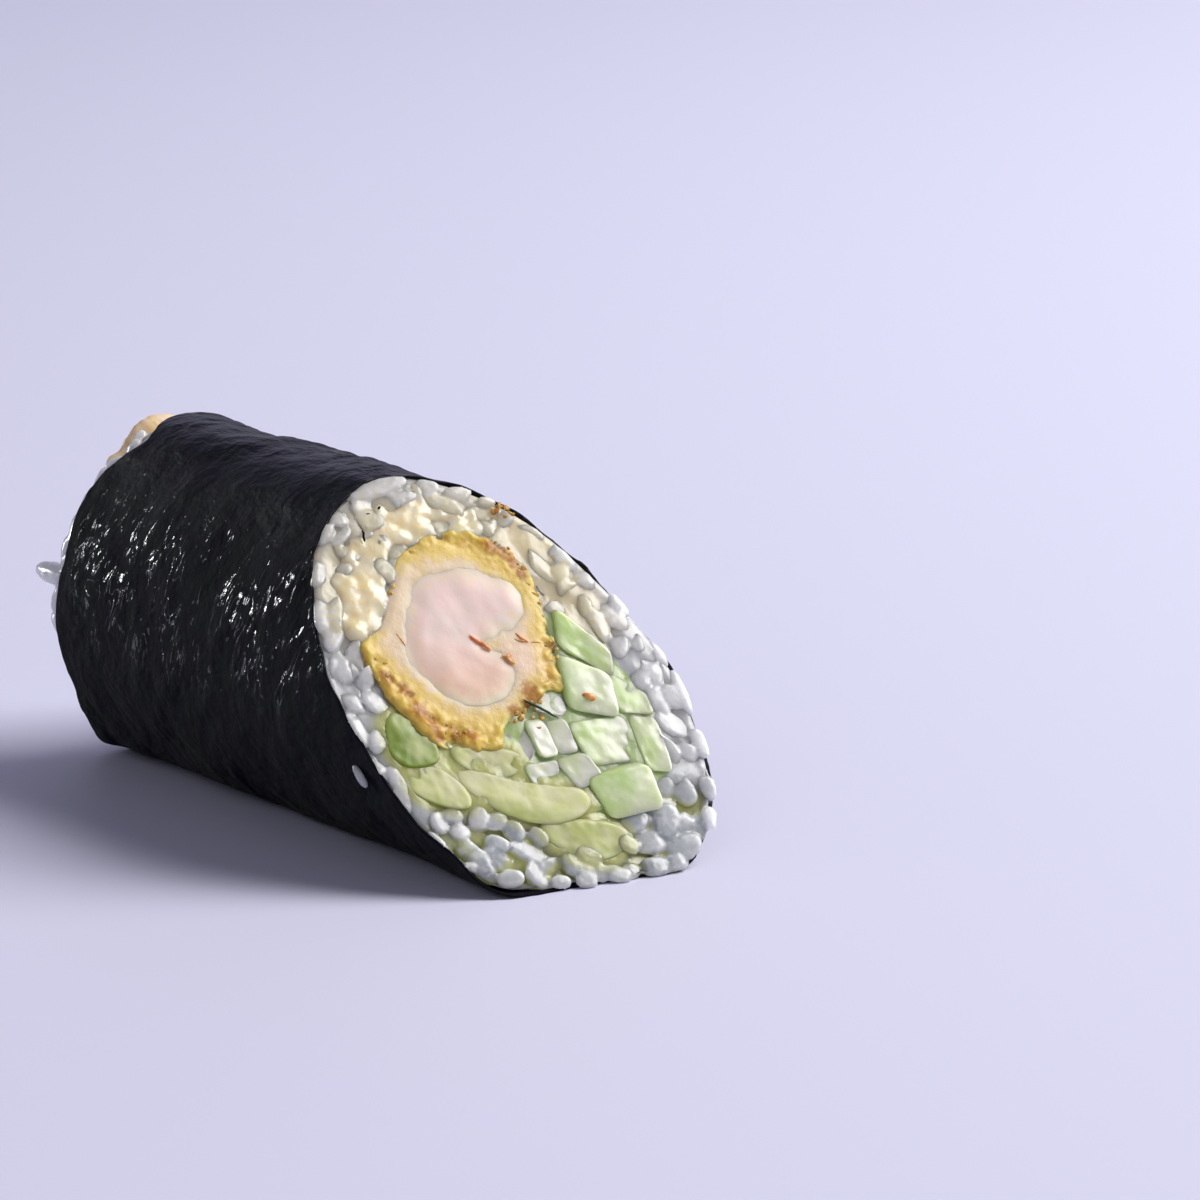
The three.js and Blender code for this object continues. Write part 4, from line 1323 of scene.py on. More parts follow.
def mashed(y, z):
    """How much avocado is mashed over a place in the cut."""
    places = np.column_stack([y, z])
    apart = np.min([distance(slice_outline(cut, 40), places) for cut in AVOCADO_SLICES], axis=0)
    near = 1 - smoothstep(apart, 0.6, 1.8)
    far = np.max([hump_at(place, y, z) for place in MASHED_PLACES], axis=0)
    patches = smoothstep(noise(np.column_stack([y * 0, y, z]), 1.3, 25), -0.2, 0.3)
    return np.maximum(near, far * patches)


def smear(piece, share):
    """Colours rice where avocado is mashed over it."""
    x, y, z = roll_places(piece).T
    gaps = 0.8 * smoothstep(z, 11, 6) * smoothstep(cut_at(y, z) - x, 0.3, 1.0)
    store(piece.data, "yellow", np.maximum(share * mashed(y, z), gaps))


def hold_in(piece, points):
    """Moves a piece's points to places in the roll, and keeps them inside the nori."""
    move_points(piece.data, held_in(points) - MIDDLE)


def grains_at_back(seed, lift, tries):
    """Grains at the back end, which bulge a little out of the wrap."""
    draw = random.Random(seed)
    packing = Packing(0.62)
    length, width = mm("grain_length"), mm("grain_width")
    half_width, low, high, lowest, bulge = 20, 1, 39, 1.7, 1.3
    crust = [scaled(shrimp_line(smooth_outline(BATTER_OUTLINE, 60), 0.0), 1.02)]
    pieces = filling_lines()[1:]
    spots = []
    for _ in range(tries):
        y, z = draw.uniform(-half_width, half_width), draw.uniform(low, high)
        angle, reach = polar(y, z)
        wide = width * draw.uniform(0.85, 1.06)
        room = skin_radius(angle, back_x()) - 0.5 - wide / 2
        if reach > room or z < lowest or not is_free(crust, y, z, 0.2):
            continue
        if not is_free(pieces, y, z, -0.4) and draw.random() < 0.75:
            continue
        turned, lean = draw.uniform(0, math.tau), draw.gauss(0, 0.35)
        long = length * draw.uniform(0.75, 1.1)
        along = np.array([math.sin(lean), math.cos(turned) * math.cos(lean),
                          math.sin(turned) * math.cos(lean)])
        run = along[1:] * (long - wide) / 2
        if not packing.fits(np.array([y, z]), run, wide):
            continue
        packing.take(np.array([y, z]), run, wide)
        x = back_x() + lift - bulge * (1 - (reach / SHEET_ROUND) ** 2) + draw.uniform(-0.2, 0.2)
        start, end = (np.array([x, y, z]) + side * along * long / 2 for side in (-1, 1))
        spots.append(grain_spot(start, end, wide, 0.15 * draw.random()))
    return spots


def looking_out():
    """Grains that stand out beside the wrap at the back end."""
    draw = random.Random(sizes().seed + 6)
    spots = []
    for degrees, out, straight, size in OUTER_GRAINS:
        angle = math.radians(degrees)
        radius = skin_radius(angle, back_x()) - 0.4 - mm("grain_height") / 2
        middle = on_roll(back_x() - out, angle, radius)
        around = np.array([0.0, -math.sin(angle), math.cos(angle)])
        along = np.array([-straight, 0.0, 0.1]) + around * (1 - straight) * draw.choice((-1, 1))
        along *= mm("grain_length") * size / 2 / np.linalg.norm(along)
        spots.append(grain_spot(middle - along, middle + along, mm("grain_width") * size, 0.1))
    return spots


def grain_on_wrap():
    """The bit of rice that sticks to the outside of the nori near the cut."""
    ends = []
    for x, degrees in ((-0.6, 195.0), (1.2, 201.5)):
        angle = math.radians(degrees)
        ends.append(on_roll(x, angle, skin_radius(angle, x) + 0.25))
    place, along, _, stretch, tint = grain_spot(*ends, 1.0, 0.0)
    return place, along, np.array([0.0, place[1], place[2] - mm("axis_height")]), stretch, tint


# The fried shrimp.


def shrimp_line(outline, t, grow=0.0):
    """A section of the fried shrimp from t = 0 at the back end to 1 at the cut."""
    eased = (1 - t) ** 2 * (3 - 2 * (1 - t))
    middle = SHRIMP_MIDDLE + SHRIMP_RISE * eased
    return middle + (outline - SHRIMP_MIDDLE) * (1 - SHRIMP_THIN * eased) * (1 + grow)


class ROLL_OT_nori(bpy.types.Operator):
    """Wraps the crinkled nori sheet round the roll"""

    bl_idname = "roll.nori"
    bl_label = "Nori"

    def execute(self, context):
        columns = 330
        angle = LAP_START + np.linspace(0, math.tau, columns, endpoint=False)
        back, front = self.rims(angle)
        outer, push = self.outer_face(angle, back, front)
        rings = np.concatenate([outer, self.inner_face(angle, back, front, push)])
        faces = grid_faces(len(rings), columns)
        last = (len(rings) - 1) * columns
        for column in range(columns):
            after = (column + 1) % columns
            faces.append((last + column, last + after, after, column))
        piece = mesh_piece("nori_sheet", rings.reshape(-1, 3), faces)
        self.map_sheet(piece.data, angle, rings)
        self.store_gloss(piece.data, angle, rings)
        settle(piece, nori_material(), "nori", "nori")
        return {"FINISHED"}

    def rims(self, angle):
        """The x of the torn back rim and of the frayed rim at the cut."""
        rim = SHEET_ROUND * np.column_stack([np.cos(angle), np.sin(angle), angle * 0])
        torn = 0.55 * noise(rim, 6.0, 6) + 0.2 * noise(rim, 1.6, 7)
        frayed = 0.16 * noise(rim, 1.3, 4) + 0.08 * noise(rim, 0.5, 5)
        return back_rim(angle) + torn, layer_at_cut(angle, 0.0) + frayed - tucked(angle)

    def outer_face(self, angle, back, front):
        """Rings of the outer face, thicker at the lap, and how far its wrinkles stand out."""
        share = np.linspace(0, 1, 201)[:, None]
        x = back + share * (front - back)
        wide = np.broadcast_to(angle, x.shape)
        wave = 0.04 * np.sin(19 * share) + 0.02 * np.sin(53 * share)
        seam = (angle - LAP_START) / LAP_TURN + wave
        lap = np.where(seam > 0, np.clip(1 - seam, 0, 1), 0) * LAP_HEIGHT
        y, z = layer(wide, x, -lap)
        push = self.wrinkles(wide, x) * smoothstep(z, 0.05, 2.0)
        z = np.maximum(z + push * np.sin(wide), 0)
        return np.stack([x, y + push * np.cos(wide), z], axis=-1), push

    def inner_face(self, angle, back, front, push):
        """Rings of the inner face, from the cut to the back; its rims follow the wrinkles."""
        sheet = mm("sheet")
        share = np.linspace(1, 0, 31)[:, None]
        x = back + share * (front - back)
        edge_push = np.where(share > 0.5, push[-1], push[0]) * np.abs(2 * share - 1)
        y, z = layer(np.broadcast_to(angle, x.shape), x, sheet - edge_push)
        return np.stack([x, y, np.maximum(z, sheet)], axis=-1)

    def wrinkles(self, angle, x):
        """How far the sheet stands out over grains, in creases round the roll and in crinkles."""
        around = np.stack([x, SHEET_ROUND * np.cos(angle), SHEET_ROUND * np.sin(angle)], axis=-1)
        lumps = 0.3 * noise(around, (4.5, 6.0, 6.0), 11) + 0.2 * noise(around, 2.8, 12)
        over_shrimp = hump(angle - math.radians(104), 0.24) * smoothstep(-x, 36, 50)
        foot = hump(angle - math.radians(228), 0.22) * smoothstep(-x, 40, 60)
        patches = smoothstep(noise(around, 9.0, 13), -0.1, 0.5)
        folds = smoothstep(noise(around, (1.5, 3.0, 3.0), 14), 0.2, 0.6)
        pleats = smoothstep(noise(around, (1.1, 2.0, 2.0), 15), 0.3, 0.7)
        crinkle = 0.03 * noise(around, 0.9, 16)
        creases = (folds + 0.5 * pleats) * patches
        return lumps + mm("wrinkle") * creases + crinkle - 0.12 + 0.5 * over_shrimp + foot

    def map_sheet(self, mesh, angle, rings):
        """A map of the sheet, in metres round the roll and along it."""
        corner = np.empty(len(mesh.loops), np.int64)
        mesh.loops.foreach_get("vertex_index", corner)
        radius = SHEET_ROUND * MM
        total = radius * math.tau
        turn = ((angle - LAP_START)[corner % len(angle)] * radius).reshape(-1, 4)
        closing = turn.max(axis=1, keepdims=True) > total / 2
        turn = np.where(closing & (turn < total / 4), turn + total, turn)
        along = rings.reshape(-1, 3)[corner, 0] * MM
        flat = np.column_stack([turn.ravel(), along])
        mesh.uv_layers.new(name="Sheet").data.foreach_set("uv", flat.astype(np.float32).ravel())

    def store_gloss(self, mesh, angle, rings):
        """Where the sheet is crumpled, and where it has a satin gloss."""
        points = rings.reshape(-1, 3)
        around = np.tile(np.mod(angle, math.tau), len(rings))
        seen = hump(around - math.radians(160), 0.5)
        seen *= smoothstep(points[:, 0], -61, -52) * smoothstep(points[:, 0], -4, -14)
        seen *= smoothstep(around, math.radians(196), math.radians(176))
        far = smoothstep(np.cos(around), -0.1, 0.4)
        patches = smoothstep(noise(points, 9.0, 17), -0.1, 0.5)
        store(mesh, "crumpled", np.clip(seen + 0.7 * patches * far, 0, 1))
        store(mesh, "satin", np.maximum(hump(around - math.radians(96), 0.5), 0.5 * far))


class ROLL_OT_rice_bed(bpy.types.Operator):
    """Fills the wrap with the bed of rice under the grains that show"""

    bl_idname = "roll.rice_bed"
    bl_label = "Rice bed"

    def execute(self, context):
        core = filling_hull()
        piece = closed_loft("rice_bed", self.rings(core))
        points = roll_places(piece)
        _, y, z = points.T
        near = inside(grown(core, 0.6), y, z).astype(float)
        store(piece.data, "tint", tint_at(y, z))
        store(piece.data, "green", near)
        # Painted shade: the bed, which shows between the grains, is darker than they are, and
        # darker still low down.
        store(piece.data, "shade", 0.45 + 0.55 * smoothstep(z, 13, 3))
        smear(piece, 1.0)
        at_end = smoothstep(np.abs(directions(piece.data)[:, 0]), 0.3, 0.6)
        roughen(piece, [((2.6, 1.7, 1.7), 0.22, 21), (0.9, 0.05, 22)], at_end * (1 - 0.5 * near))
        hold_in(piece, roll_places(piece))
        settle(piece, rice_material(), "rice", "rice")
        return {"FINISHED"}

    def rings(self, core):
        """Sections of the bed: its flat back end, its length and its hollowed face in the cut."""
        inset, axis, face_middle = 0.65, mm("axis_height"), 16.0
        angle = np.linspace(0, math.tau, 180, endpoint=False)
        cut = layer_at_cut(angle, inset, -0.38)
        back = np.full(len(angle), back_x() + 0.5)
        rings = []
        y, z = layer(angle, back, inset)
        for scale in (0.3, 0.6, 0.85):
            rings.append(np.column_stack([back, y * scale, axis + (z - axis) * scale]))
        for share in np.linspace(0, 1, 40):
            x = back + share * (cut - back)
            rings.append(np.column_stack([x, *layer(angle, x, inset)]))
        y, z = layer(angle, cut, inset)
        shrimp = grown(smooth_outline(BATTER_OUTLINE, 80), -0.6)
        for scale in np.linspace(0.98, 0.02, 60):
            ring_y, ring_z = y * scale, face_middle + (z - face_middle) * scale
            sunk = self.sunk_under_grains(ring_y, ring_z)
            sunk = np.where(inside(core, ring_y, ring_z), 0.2, sunk)
            sunk = sunk * (1 - 0.85 * mashed(ring_y, ring_z))
            sunk = np.where(inside(shrimp, ring_y, ring_z), 2.5, sunk)
            rings.append(np.column_stack([cut_at(ring_y, ring_z) - sunk, ring_y, ring_z]))
        return rings

    def sunk_under_grains(self, y, z):
        """How far the bed lies behind the cut under grains, more so low down and on the left."""
        left = smoothstep(y, -11, -14) * smoothstep(z, 27, 24)
        return 0.24 + 1.0 * smoothstep(z, 9, 5) + 0.35 * left * smoothstep(z, 9, 12)


class ROLL_OT_rice_grains(bpy.types.Operator):
    """Lays the rice grains that show at the cut and at the back end"""

    bl_idname = "roll.rice_grains"
    bl_label = "Rice grains"

    def execute(self, context):
        seed = sizes().seed
        shown = grains_that_show()
        shown += grains_at_rim(shown)
        between = grains_between(shown, seed, 0.5, 0.56, 7000)
        under = grains_between([], seed + 1, 1.1, 0.6, 2500)
        piece = self.grains("rice_grains_cut", shown + between + under)
        press_grains(piece, seed)
        fuse(piece, 0.2, 3)
        store(piece.data, "bulge", bulges(piece.data, 4))
        smear(piece, 0.7)
        settle(piece, bpy.data.materials["Rice"], "rice")
        piece = self.grains("rice_on_wrap", [grain_on_wrap()])
        settle(piece, bpy.data.materials["Rice"], "rice")
        back = grains_at_back(seed + 2, 0.75, 4500) + grains_at_back(seed + 3, 1.3, 3500)
        piece = self.grains("rice_grains_back", back + looking_out())
        hold_in(piece, roll_places(piece))
        fuse(piece, 0.25, 2)
        store(piece.data, "bulge", bulges(piece.data, 3))
        settle(piece, bpy.data.materials["Rice"], "rice")
        return {"FINISHED"}

    def grains(self, name, spots):
        """A mesh of grains on spots."""
        return sprinkle(
            name, spots, grain_shape(), bpy.data.materials["Rice"],
            Length=sizes().grain_length, Width=sizes().grain_width, Height=sizes().grain_height,
            Unevenness=0.0005, Uneven_size=0.0019,
        )


class ROLL_OT_shrimp(bpy.types.Operator):
    """Makes the shrimp meat with its two lobes and crease"""

    bl_idname = "roll.shrimp"
    bl_label = "Shrimp meat"

    def execute(self, context):
        outline = smooth_outline(MEAT_OUTLINE, 150)

        def back(y, z):
            return back_x() + 4 + 0 * y

        def front(y, z):
            deep = -distance(outline, np.column_stack([y, z]))
            return cut_at(y, z) + 0.16 + 0.26 * smoothstep(deep, 0, 2.4)

        piece = filling_piece(
            "shrimp_meat", lambda t: shrimp_line(outline, t), back, front,
            rounding=0.16, body_rows=22, face_rows=34,
        )
        roughen(piece, [(3.4, 0.1, 31), ((2.5, 1.6, 1.6), 0.04, 32)])
        places = roll_places(piece)[:, 1:]
        at_face = smoothstep(directions(piece.data)[:, 0], 0.2, 0.5)
        store(piece.data, "deep", np.maximum(-distance(outline, places), 0) * at_face)
        store(piece.data, "low", smoothstep(places[:, 1], 26, 18.5))
        settle(piece, meat_material(), "shrimp_meat", "shrimp")
        return {"FINISHED"}


class ROLL_OT_batter(bpy.types.Operator):
    """Fries the craggy batter and its browned crumbs round the shrimp"""

    bl_idname = "roll.batter"
    bl_label = "Fried batter"

    def execute(self, context):
        outline = smooth_outline(BATTER_OUTLINE, 220)
        meat = smooth_outline(MEAT_OUTLINE, 120)
        piece = closed_loft("fried_batter", self.rings(outline, meat))
        crags = [(2.6, 0.45, 41), (1.2, 0.42, 42), (0.6, 0.28, 43)]
        roughen(piece, crags, 0.08 + 0.92 * self.store_tones(piece, meat))
        settle(piece, batter_material(), "fried_crust", "fried_crust")
        size = sizes().crumb
        crumbs = sprinkle(
            "fried_crumbs", self.crumb_spots(outline), crumb_shape(), crumb_material(),
            Length=size, Width=size, Height=size, Unevenness=0.0004, Uneven_size=0.0005,
        )
        shade_faces(crumbs.data, False)
        settle(crumbs, bpy.data.materials["Fried crumbs"], "fried_crust")
        return {"FINISHED"}

    def rings(self, outline, meat):
        """Sections of the batter: its rounded back end, its length and its face in the cut."""
        ends = back_x() - SHRIMP_PEEP
        rings = []
        for scale in (0.06, 0.14, 0.22, 0.3, 0.37):
            line = scaled(shrimp_line(outline, 0.0), scale) + SWELL
            rings.append(np.column_stack([np.full(len(line), ends), line]))
        for share in np.linspace(0, 1, 70) ** 1.5:
            behind = share * (-ends + 5)
            closing = math.sqrt(1 - (1 - min(1, (behind + 0.3) / 4)) ** 2)
            line = scaled(shrimp_line(outline, share), closing)
            line = line + SWELL * smoothstep(behind, 5.6, 2.6)
            rings.append(np.column_stack([ends * (1 - share) + cut_at(*line.T) * share, line]))
        for scale in np.linspace(0.985, 0.05, 44):
            line = SHRIMP_MIDDLE + (outline - SHRIMP_MIDDLE) * scale
            lifted = 0.1 + 0.2 * smoothstep(scale, 1.0, 0.9) + 0.08 * hump_at(SWOLLEN, *line.T)
            sunk = 0.6 * smoothstep(np.maximum(-distance(meat, line), 0), -0.6, 2.6)
            rings.append(np.column_stack([cut_at(*line.T) + lifted - sunk, line]))
        return rings

    def store_tones(self, piece, meat):
        """Keeps how the batter is coloured, and gives how craggy it is.

        The value away grows from the meat outwards: fleshy, creamy, yellow and then golden.
        """
        x, y, z = roll_places(piece).T
        on_face = smoothstep(x - cut_at(y, z), -1.5, -0.3)
        at_back = smoothstep(back_x() - x, -1.0, 1.5)
        away = np.maximum(distance(meat, np.column_stack([y, z])), 0)
        away -= 2.4 * hump_at(CREASE_CREAM, y, z)
        creamy = smoothstep(-y, 4.5, 8.5) * smoothstep(z, 21, 25)
        away -= 1.7 * creamy + 0.35 * smoothstep(z, 28, 31) * (away > 0)
        golden = 0.9 * smoothstep(y, 2, 5) * smoothstep(z, 24, 27)
        store(piece.data, "away", np.where(on_face > 0, away + golden, 3.5 - 3.3 * at_back))
        brown = np.max([hump_at(place, y, z) for place in BROWN_PLACES], axis=0)
        store(piece.data, "brown", brown * (on_face > 0))
        fleshy = hump_at(CREASE_FLESH, y, z)
        store(piece.data, "fleshy", np.where(on_face > 0, fleshy, 0.4 * at_back))
        craggy = smoothstep(away, 1.2, 3.2) * on_face + (1 - on_face)
        return craggy * (1 - 0.8 * at_back)

    def crumb_spots(self, outline):
        """Crumbs along the batter's edge in the cut, on its browned places and its back end."""
        draw = random.Random(sizes().seed + 9)
        flat, loose = 0.4, 1
        spots = []
        for _ in range(90):
            corner = outline[draw.randrange(len(outline))]
            y, z = SHRIMP_MIDDLE + (corner - SHRIMP_MIDDLE) * (1 - abs(draw.gauss(0, 0.06)))
            place = in_cut(y, z, draw.uniform(-0.5, 0.0))
            tone, size = draw.uniform(0, 0.2), draw.uniform(0.4, 1.0)
            spots.append(self.crumb(draw, place, tone, size, flat))
        for y, z, reach in BROWN_PLACES:
            for _ in range(int(9 * reach)):
                side, rise = draw.gauss(0, reach * 0.5), draw.gauss(0, reach * 0.5)
                place = in_cut(y + side, z + rise, draw.uniform(-0.35, 0.05))
                tone, size = draw.uniform(0.1, 0.7), draw.uniform(0.3, 0.85)
                spots.append(self.crumb(draw, place, tone, size, flat))
        back_outline = smooth_outline(BATTER_OUTLINE, 60)
        for _ in range(24):
            line = shrimp_line(back_outline, draw.uniform(0.0, 0.05))
            corner = line[draw.randrange(len(line))]
            middle = line.mean(axis=0)
            scale = draw.uniform(0.02, 0.5) ** 0.5
            y, z = middle + (corner - middle) * scale
            x = back_x() - SHRIMP_PEEP + 5 * (1 - math.sqrt(1 - scale ** 2))
            tone, size = draw.uniform(0, 0.5), draw.uniform(0.3, 0.8)
            spots.append(self.crumb(draw, np.array([x, y, z]), tone, size, loose))
        return spots

    def crumb(self, draw, place, tone, size, lean):
        """One crumb; the smaller its lean, the flatter it lies in the cut."""
        normal, across, upward = cut_frame()
        turned = draw.uniform(0, math.tau)
        along = across * math.cos(turned) + upward * math.sin(turned)
        flat = normal + np.array([draw.gauss(0, lean) for _ in range(3)])
        stretch = (size, size * draw.uniform(0.3, 0.7), size * draw.uniform(0.8, 1.5))
        return place, along, flat, stretch, tone


class ROLL_OT_sauce(bpy.types.Operator):
    """Squeezes the creamy sauce between the batter and the rice"""

    bl_idname = "roll.sauce"
    bl_label = "Sauce"

    def execute(self, context):
        outline = smooth_outline(BATTER_OUTLINE, 90)
        piece = blobs("sauce_strand", self.drops(outline), 0.28, 18)
        roughen(piece, [(1.6, 0.08, 51), (0.8, 0.03, 52)])
        points = roll_places(piece)
        x, y, z = points.T
        over_batter = (x > cut_at(y, z) - 2) & inside(grown(outline, -0.1), y, z)
        points[:, 0] -= 1.2 * over_batter
        hold_in(piece, points)
        settle(piece, sauce_material(), "sauce", "sauce")
        return {"FINISHED"}

    def drops(self, outline):
        """Drops of sauce, (place, radius) each, in the cut and along the batter's upper left."""
        draw = random.Random(sizes().seed + 20)
        drops = []
        for y, z, reach, count in SAUCE_PLACES:
            for _ in range(count):
                side, rise = draw.gauss(0, reach * 0.55), draw.gauss(0, reach * 0.55)
                radius = draw.uniform(0.8, 1.7)
                proud = 0.16 - radius * draw.uniform(0.9, 1.0)
                drops.append((in_cut(y + side, z + rise, proud), radius))
        for depth in range(1, 44):
            t = 1 - depth / 52
            line = shrimp_line(outline, t, 0.12)
            for _ in range(4):
                corner = line[draw.randrange(len(line))]
                across, up = corner - line.mean(axis=0)
                if across < 0 < up:
                    x = cut_at(*corner) * t + (1 - t) * back_x()
                    drops.append((np.array([x, *corner]), 1.5))
        return drops


def blobs(name, drops, cell, smoothing):
    """One soft mass from drops: (place, radius) each."""
    ball = bmesh.new()
    bmesh.ops.create_icosphere(ball, subdivisions=2, radius=1)
    corners = np.array([vertex.co for vertex in ball.verts])
    trios = np.array([[vertex.index for vertex in face.verts] for face in ball.faces])
    ball.free()
    points = np.vstack([corners * radius + place for place, radius in drops])
    faces = np.vstack([trios + number * len(corners) for number in range(len(drops))])
    piece = mesh_piece(name, points, faces.tolist())
    fuse(piece, cell, smoothing)
    return piece


class ROLL_OT_cucumber(bpy.types.Operator):
    """Cuts the cucumber sticks"""

    bl_idname = "roll.cucumber"
    bl_label = "Cucumber sticks"

    def execute(self, context):
        material = cucumber_material()
        for number, (stick, pale) in enumerate(zip(CUCUMBER_STICKS, PALENESS)):
            line = grown(stick_outline(stick, 72), 0.22)
            piece = straight_piece(f"cucumber_stick_{number + 1}", line, stick["proud"], number)
            roughen(piece, [(2.4, 0.1, 60 + number), ((2.0, 0.9, 0.9), 0.05, 80 + number)])
            across = roll_places(piece)[:, 1] - stick["at"][0]
            store(piece.data, "pale", np.clip(pale + 0.14 * across, 0, 1.2))
            settle(piece, material, "cucumber", f"cucumber_{number + 1}")
        return {"FINISHED"}


class ROLL_OT_avocado(bpy.types.Operator):
    """Cuts the avocado slices"""

    bl_idname = "roll.avocado"
    bl_label = "Avocado slices"

    def execute(self, context):
        material = avocado_material()
        for number, (cut, green) in enumerate(zip(AVOCADO_SLICES, GREENNESS)):
            line = grown(slice_outline(cut, 84), 0.32)
            name = f"avocado_slice_{number + 1}"
            piece = straight_piece(name, line, cut["proud"], number + 20, 0.35)
            roughen(piece, [(2.6, 0.16, 100 + number), ((1.2, 0.7, 0.7), 0.05, 120 + number)])
            points = roll_places(piece)
            across, up = (points[:, 1:] - cut["at"]).T
            angle = math.radians(cut["turn"])
            down = across * math.sin(angle) - up * math.cos(angle)
            edge = smoothstep(down / cut["size"][1], 0.15, 0.5)
            cloud = 0.75 + 0.5 * noise(points, 2.0, 140 + number)
            store(piece.data, "green", np.clip(green * cloud + 0.35 * edge, 0, 1))
            settle(piece, material, "avocado", f"avocado_{number + 1}")
        return {"FINISHED"}


class ROLL_OT_trimmings(bpy.types.Operator):
    """Lays the small strands: veins of the shrimp, cucumber skin and flecks of nori"""

    bl_idname = "roll.trimmings"
    bl_label = "Trimmings"

    def execute(self, context):
        vein = Recipe("Shrimp vein")
        patches = vein.span(vein.spots(vein.place(), 0.6, 2.0), 0.4, 0.6)
        vein.finish(Base_Color=vein.blend(patches, (0.86, 0.24, 0.07), (0.88, 0.48, 0.16)),
                    Roughness=0.3, **soft(0.3, (1.0, 0.4, 0.2), 0.001))
        settle(strands("shrimp_veins", VEINS), vein.material, "shrimp_meat")
        skin = Recipe("Cucumber skin")
        skin.finish(Base_Color=(0.016, 0.045, 0.008, 1), Roughness=0.35)
        settle(strands("cucumber_skin", SKINS), skin.material, "cucumber")
        settle(strands("nori_flecks", FLECKS), bpy.data.materials["Nori"], "nori")
        return {"FINISHED"}


def strands(name, runs, sides=8, steps=10):
    """Thin strands in the cut, each through its places (across, up, proud) with a thickness."""
    points, faces = [], []
    turn = np.linspace(0, math.tau, sides, endpoint=False)[:, None]
    along = np.linspace(-1, 1, steps)
    for places, thickness in runs:
        line = np.array([in_cut(y, z, proud) for y, z, proud in places])
        count = np.arange(len(line))
        share = np.linspace(0, len(line) - 1, steps)
        line = np.column_stack([np.interp(share, count, column) for column in line.T])
        line += 0.3 * thickness * np.column_stack([noise(line, 0.5, k) for k in range(3)])
        run = np.gradient(line, axis=0)
        run /= np.linalg.norm(run, axis=1, keepdims=True)
        side = np.cross(run, cut_frame()[0])
        side /= np.linalg.norm(side, axis=1, keepdims=True)
        out = np.cross(side, run)
        reach = thickness / 2 * np.sqrt(1.02 - along ** 2) * (1 + 0.3 * noise(line, 0.6, 8))
        start = len(points)
        for i in range(steps):
            ways = side[i] * np.cos(turn) + out[i] * np.sin(turn)
            points += list(line[i] + ways * reach[i])
        faces += [[start + corner for corner in quad] for quad in grid_faces(steps, sides)]
        faces.append([start + corner for corner in range(sides)][::-1])
        faces.append([start + (steps - 1) * sides + corner for corner in range(sides)])
    return mesh_piece(name, points, faces)


def straight_piece(name, line, proud, turn, rounding=0.16):
    """A stick or slice along the roll, with its own slant at the cut."""
    tilt_y = 0.1 * math.sin(turn * 3)
    tilt_z = 0.1 * math.cos(turn * 5)
    middle_y, middle_z = line.mean(axis=0)
    ends = back_x() + 0.5 + 0.9 * math.sin(turn * 2.4)

    def front(y, z):
        return cut_at(y, z) + proud + tilt_y * (y - middle_y) + tilt_z * (z - middle_z)

    def back(y, z):
        return ends + 0 * y

    return filling_piece(name, lambda t: line, back, front, rounding=rounding)


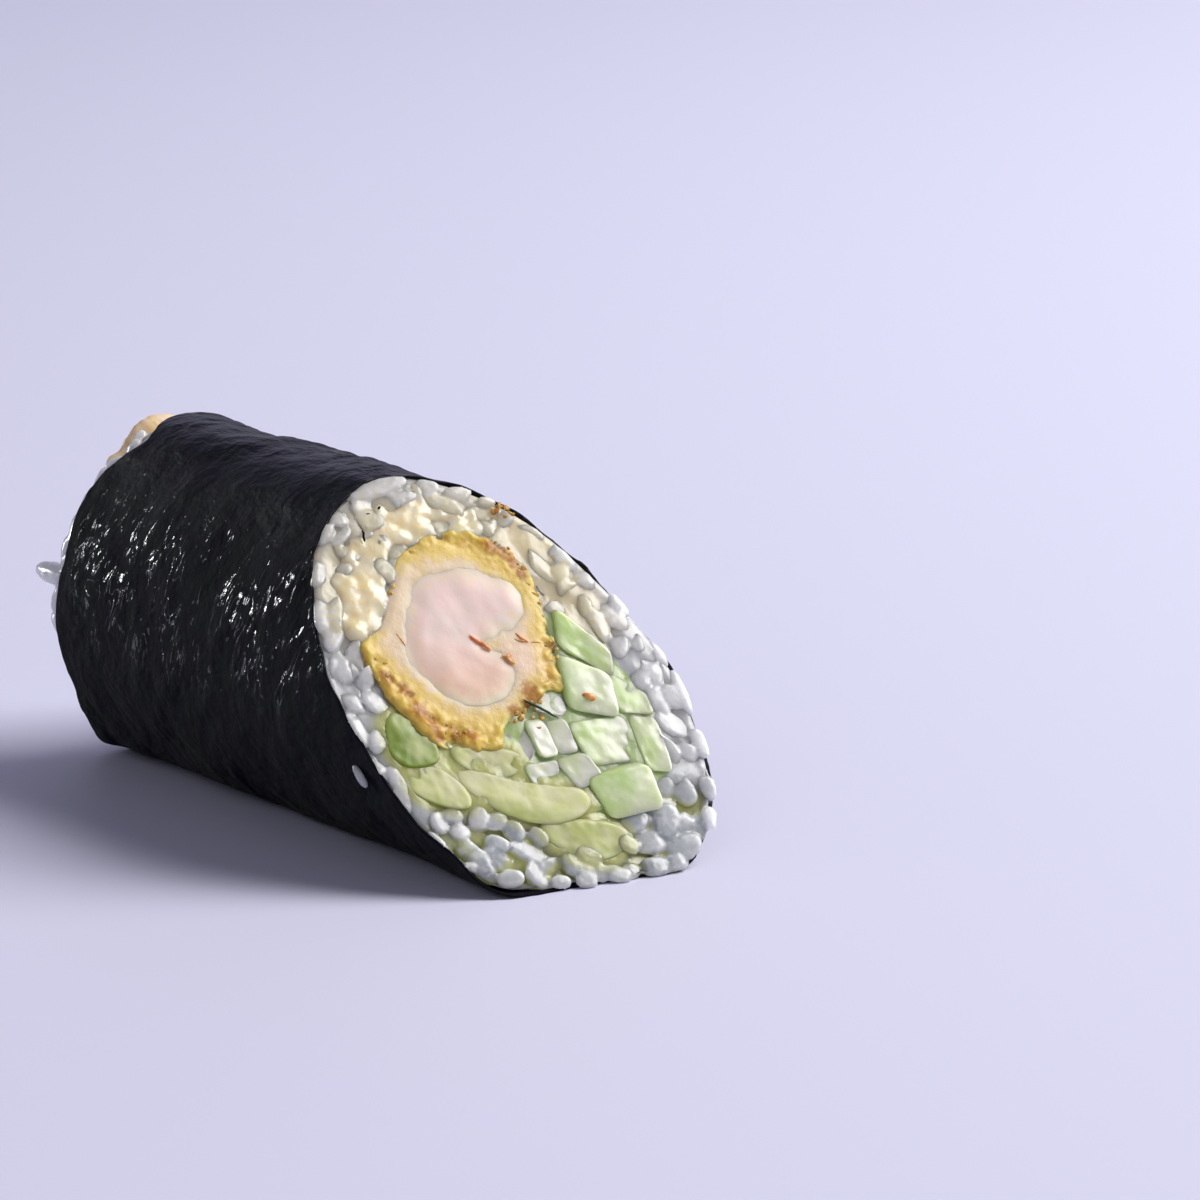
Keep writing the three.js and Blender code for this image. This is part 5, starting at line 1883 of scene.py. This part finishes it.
class ROLL_OT_stage(bpy.types.Operator):
    """Sets the floor, the backdrop, the lights and the camera"""

    bl_idname = "roll.stage"
    bl_label = "Stage"

    def execute(self, context):
        self.sweep()
        self.camera(context)
        for name, place, size, power, colour in LIGHTS:
            lamp = self.light(name, LIGHT_TARGET + place, size, power, colour)
            lamp.visible_diffuse = name != "Side glint"
        world = bpy.data.worlds.new("Studio")
        world.use_nodes = True
        background = world.node_tree.nodes["Background"]
        background.inputs["Color"].default_value = (0.80, 0.79, 1.0, 1)
        background.inputs["Strength"].default_value = 0.15
        context.scene.world = world
        context.scene.view_settings.view_transform = "Standard"
        return {"FINISHED"}

    def sweep(self):
        """A floor that curves up into a backdrop."""
        profile = [(-1.6, 0.0), (0.9, 0.0)]
        for step in range(1, 17):
            angle = math.radians(90 * step / 16)
            profile.append((0.9 + 0.5 * math.sin(angle), 0.5 * (1 - math.cos(angle))))
        profile.append((1.4, 2.2))
        points, faces = [], []
        for forward, height in profile:
            for side in (-2.2, 2.2):
                points.append(RIGHT * side + AHEAD * forward + HIGH * height)
        for row in range(len(profile) - 1):
            faces.append((2 * row, 2 * row + 1, 2 * row + 3, 2 * row + 2))
        floor = mesh_object("Sweep", points, faces)
        recipe = Recipe("Stage")
        recipe.finish(Base_Color=(*colours().stage, 1), Roughness=0.55, Specular_IOR_Level=0.3)
        floor.data.materials.append(recipe.material)

    def camera(self, context):
        """The camera at the photograph's viewing angle."""
        data = bpy.data.cameras.new("Camera")
        data.sensor_width = 36
        data.lens = CAMERA_LENS
        data.clip_start = 0.01
        camera = new_object("Camera", data)
        turn = Matrix((RIGHT, UP, TOWARD)).transposed().to_4x4()
        camera.matrix_world = Matrix.Translation(CAMERA_PLACE) @ turn
        context.scene.camera = camera

    def light(self, name, place, size, power, colour):
        """A soft rectangular light that faces the roll."""
        data = bpy.data.lights.new(name, "AREA")
        data.shape = "RECTANGLE"
        data.size, data.size_y = size
        data.energy = power
        data.color = colour
        lamp = new_object(name, data)
        lamp.location = place
        lamp.rotation_euler = (LIGHT_TARGET - place).to_track_quat("-Z", "Y").to_euler()
        return lamp


OPERATORS = (
    ROLL_OT_nori,
    ROLL_OT_rice_bed,
    ROLL_OT_rice_grains,
    ROLL_OT_shrimp,
    ROLL_OT_batter,
    ROLL_OT_sauce,
    ROLL_OT_cucumber,
    ROLL_OT_avocado,
    ROLL_OT_trimmings,
    ROLL_OT_stage,
)


class ROLL_PT_panel(bpy.types.Panel):
    """Lists the steps and the sizes of the hand roll"""

    bl_idname = "ROLL_PT_panel"
    bl_label = "Hand roll half"
    bl_space_type = "VIEW_3D"
    bl_region_type = "UI"
    bl_category = "Hand Roll"

    def draw(self, context):
        for step in OPERATORS:
            self.layout.operator(step.bl_idname)
        for group in (context.scene.roll_sizes, context.scene.roll_colours):
            column = self.layout.column()
            for key in group.bl_rna.properties.keys():
                if key not in ("rna_type", "name"):
                    column.prop(group, key)


CLASSES = (RollSizes, RollColours, *OPERATORS, ROLL_PT_panel)


def register():
    """Makes the sizes, colours, steps and panel known to Blender."""
    for entry in CLASSES:
        bpy.utils.register_class(entry)
    bpy.types.Scene.roll_sizes = PointerProperty(type=RollSizes)
    bpy.types.Scene.roll_colours = PointerProperty(type=RollColours)


def unregister():
    """Takes back what register has done."""
    del bpy.types.Scene.roll_colours
    del bpy.types.Scene.roll_sizes
    for entry in reversed(CLASSES):
        bpy.utils.unregister_class(entry)


def main():
    register()
    for step in OPERATORS:
        group, name = step.bl_idname.split(".")
        getattr(getattr(bpy.ops, group), name)()


if __name__ == "__main__":
    main()
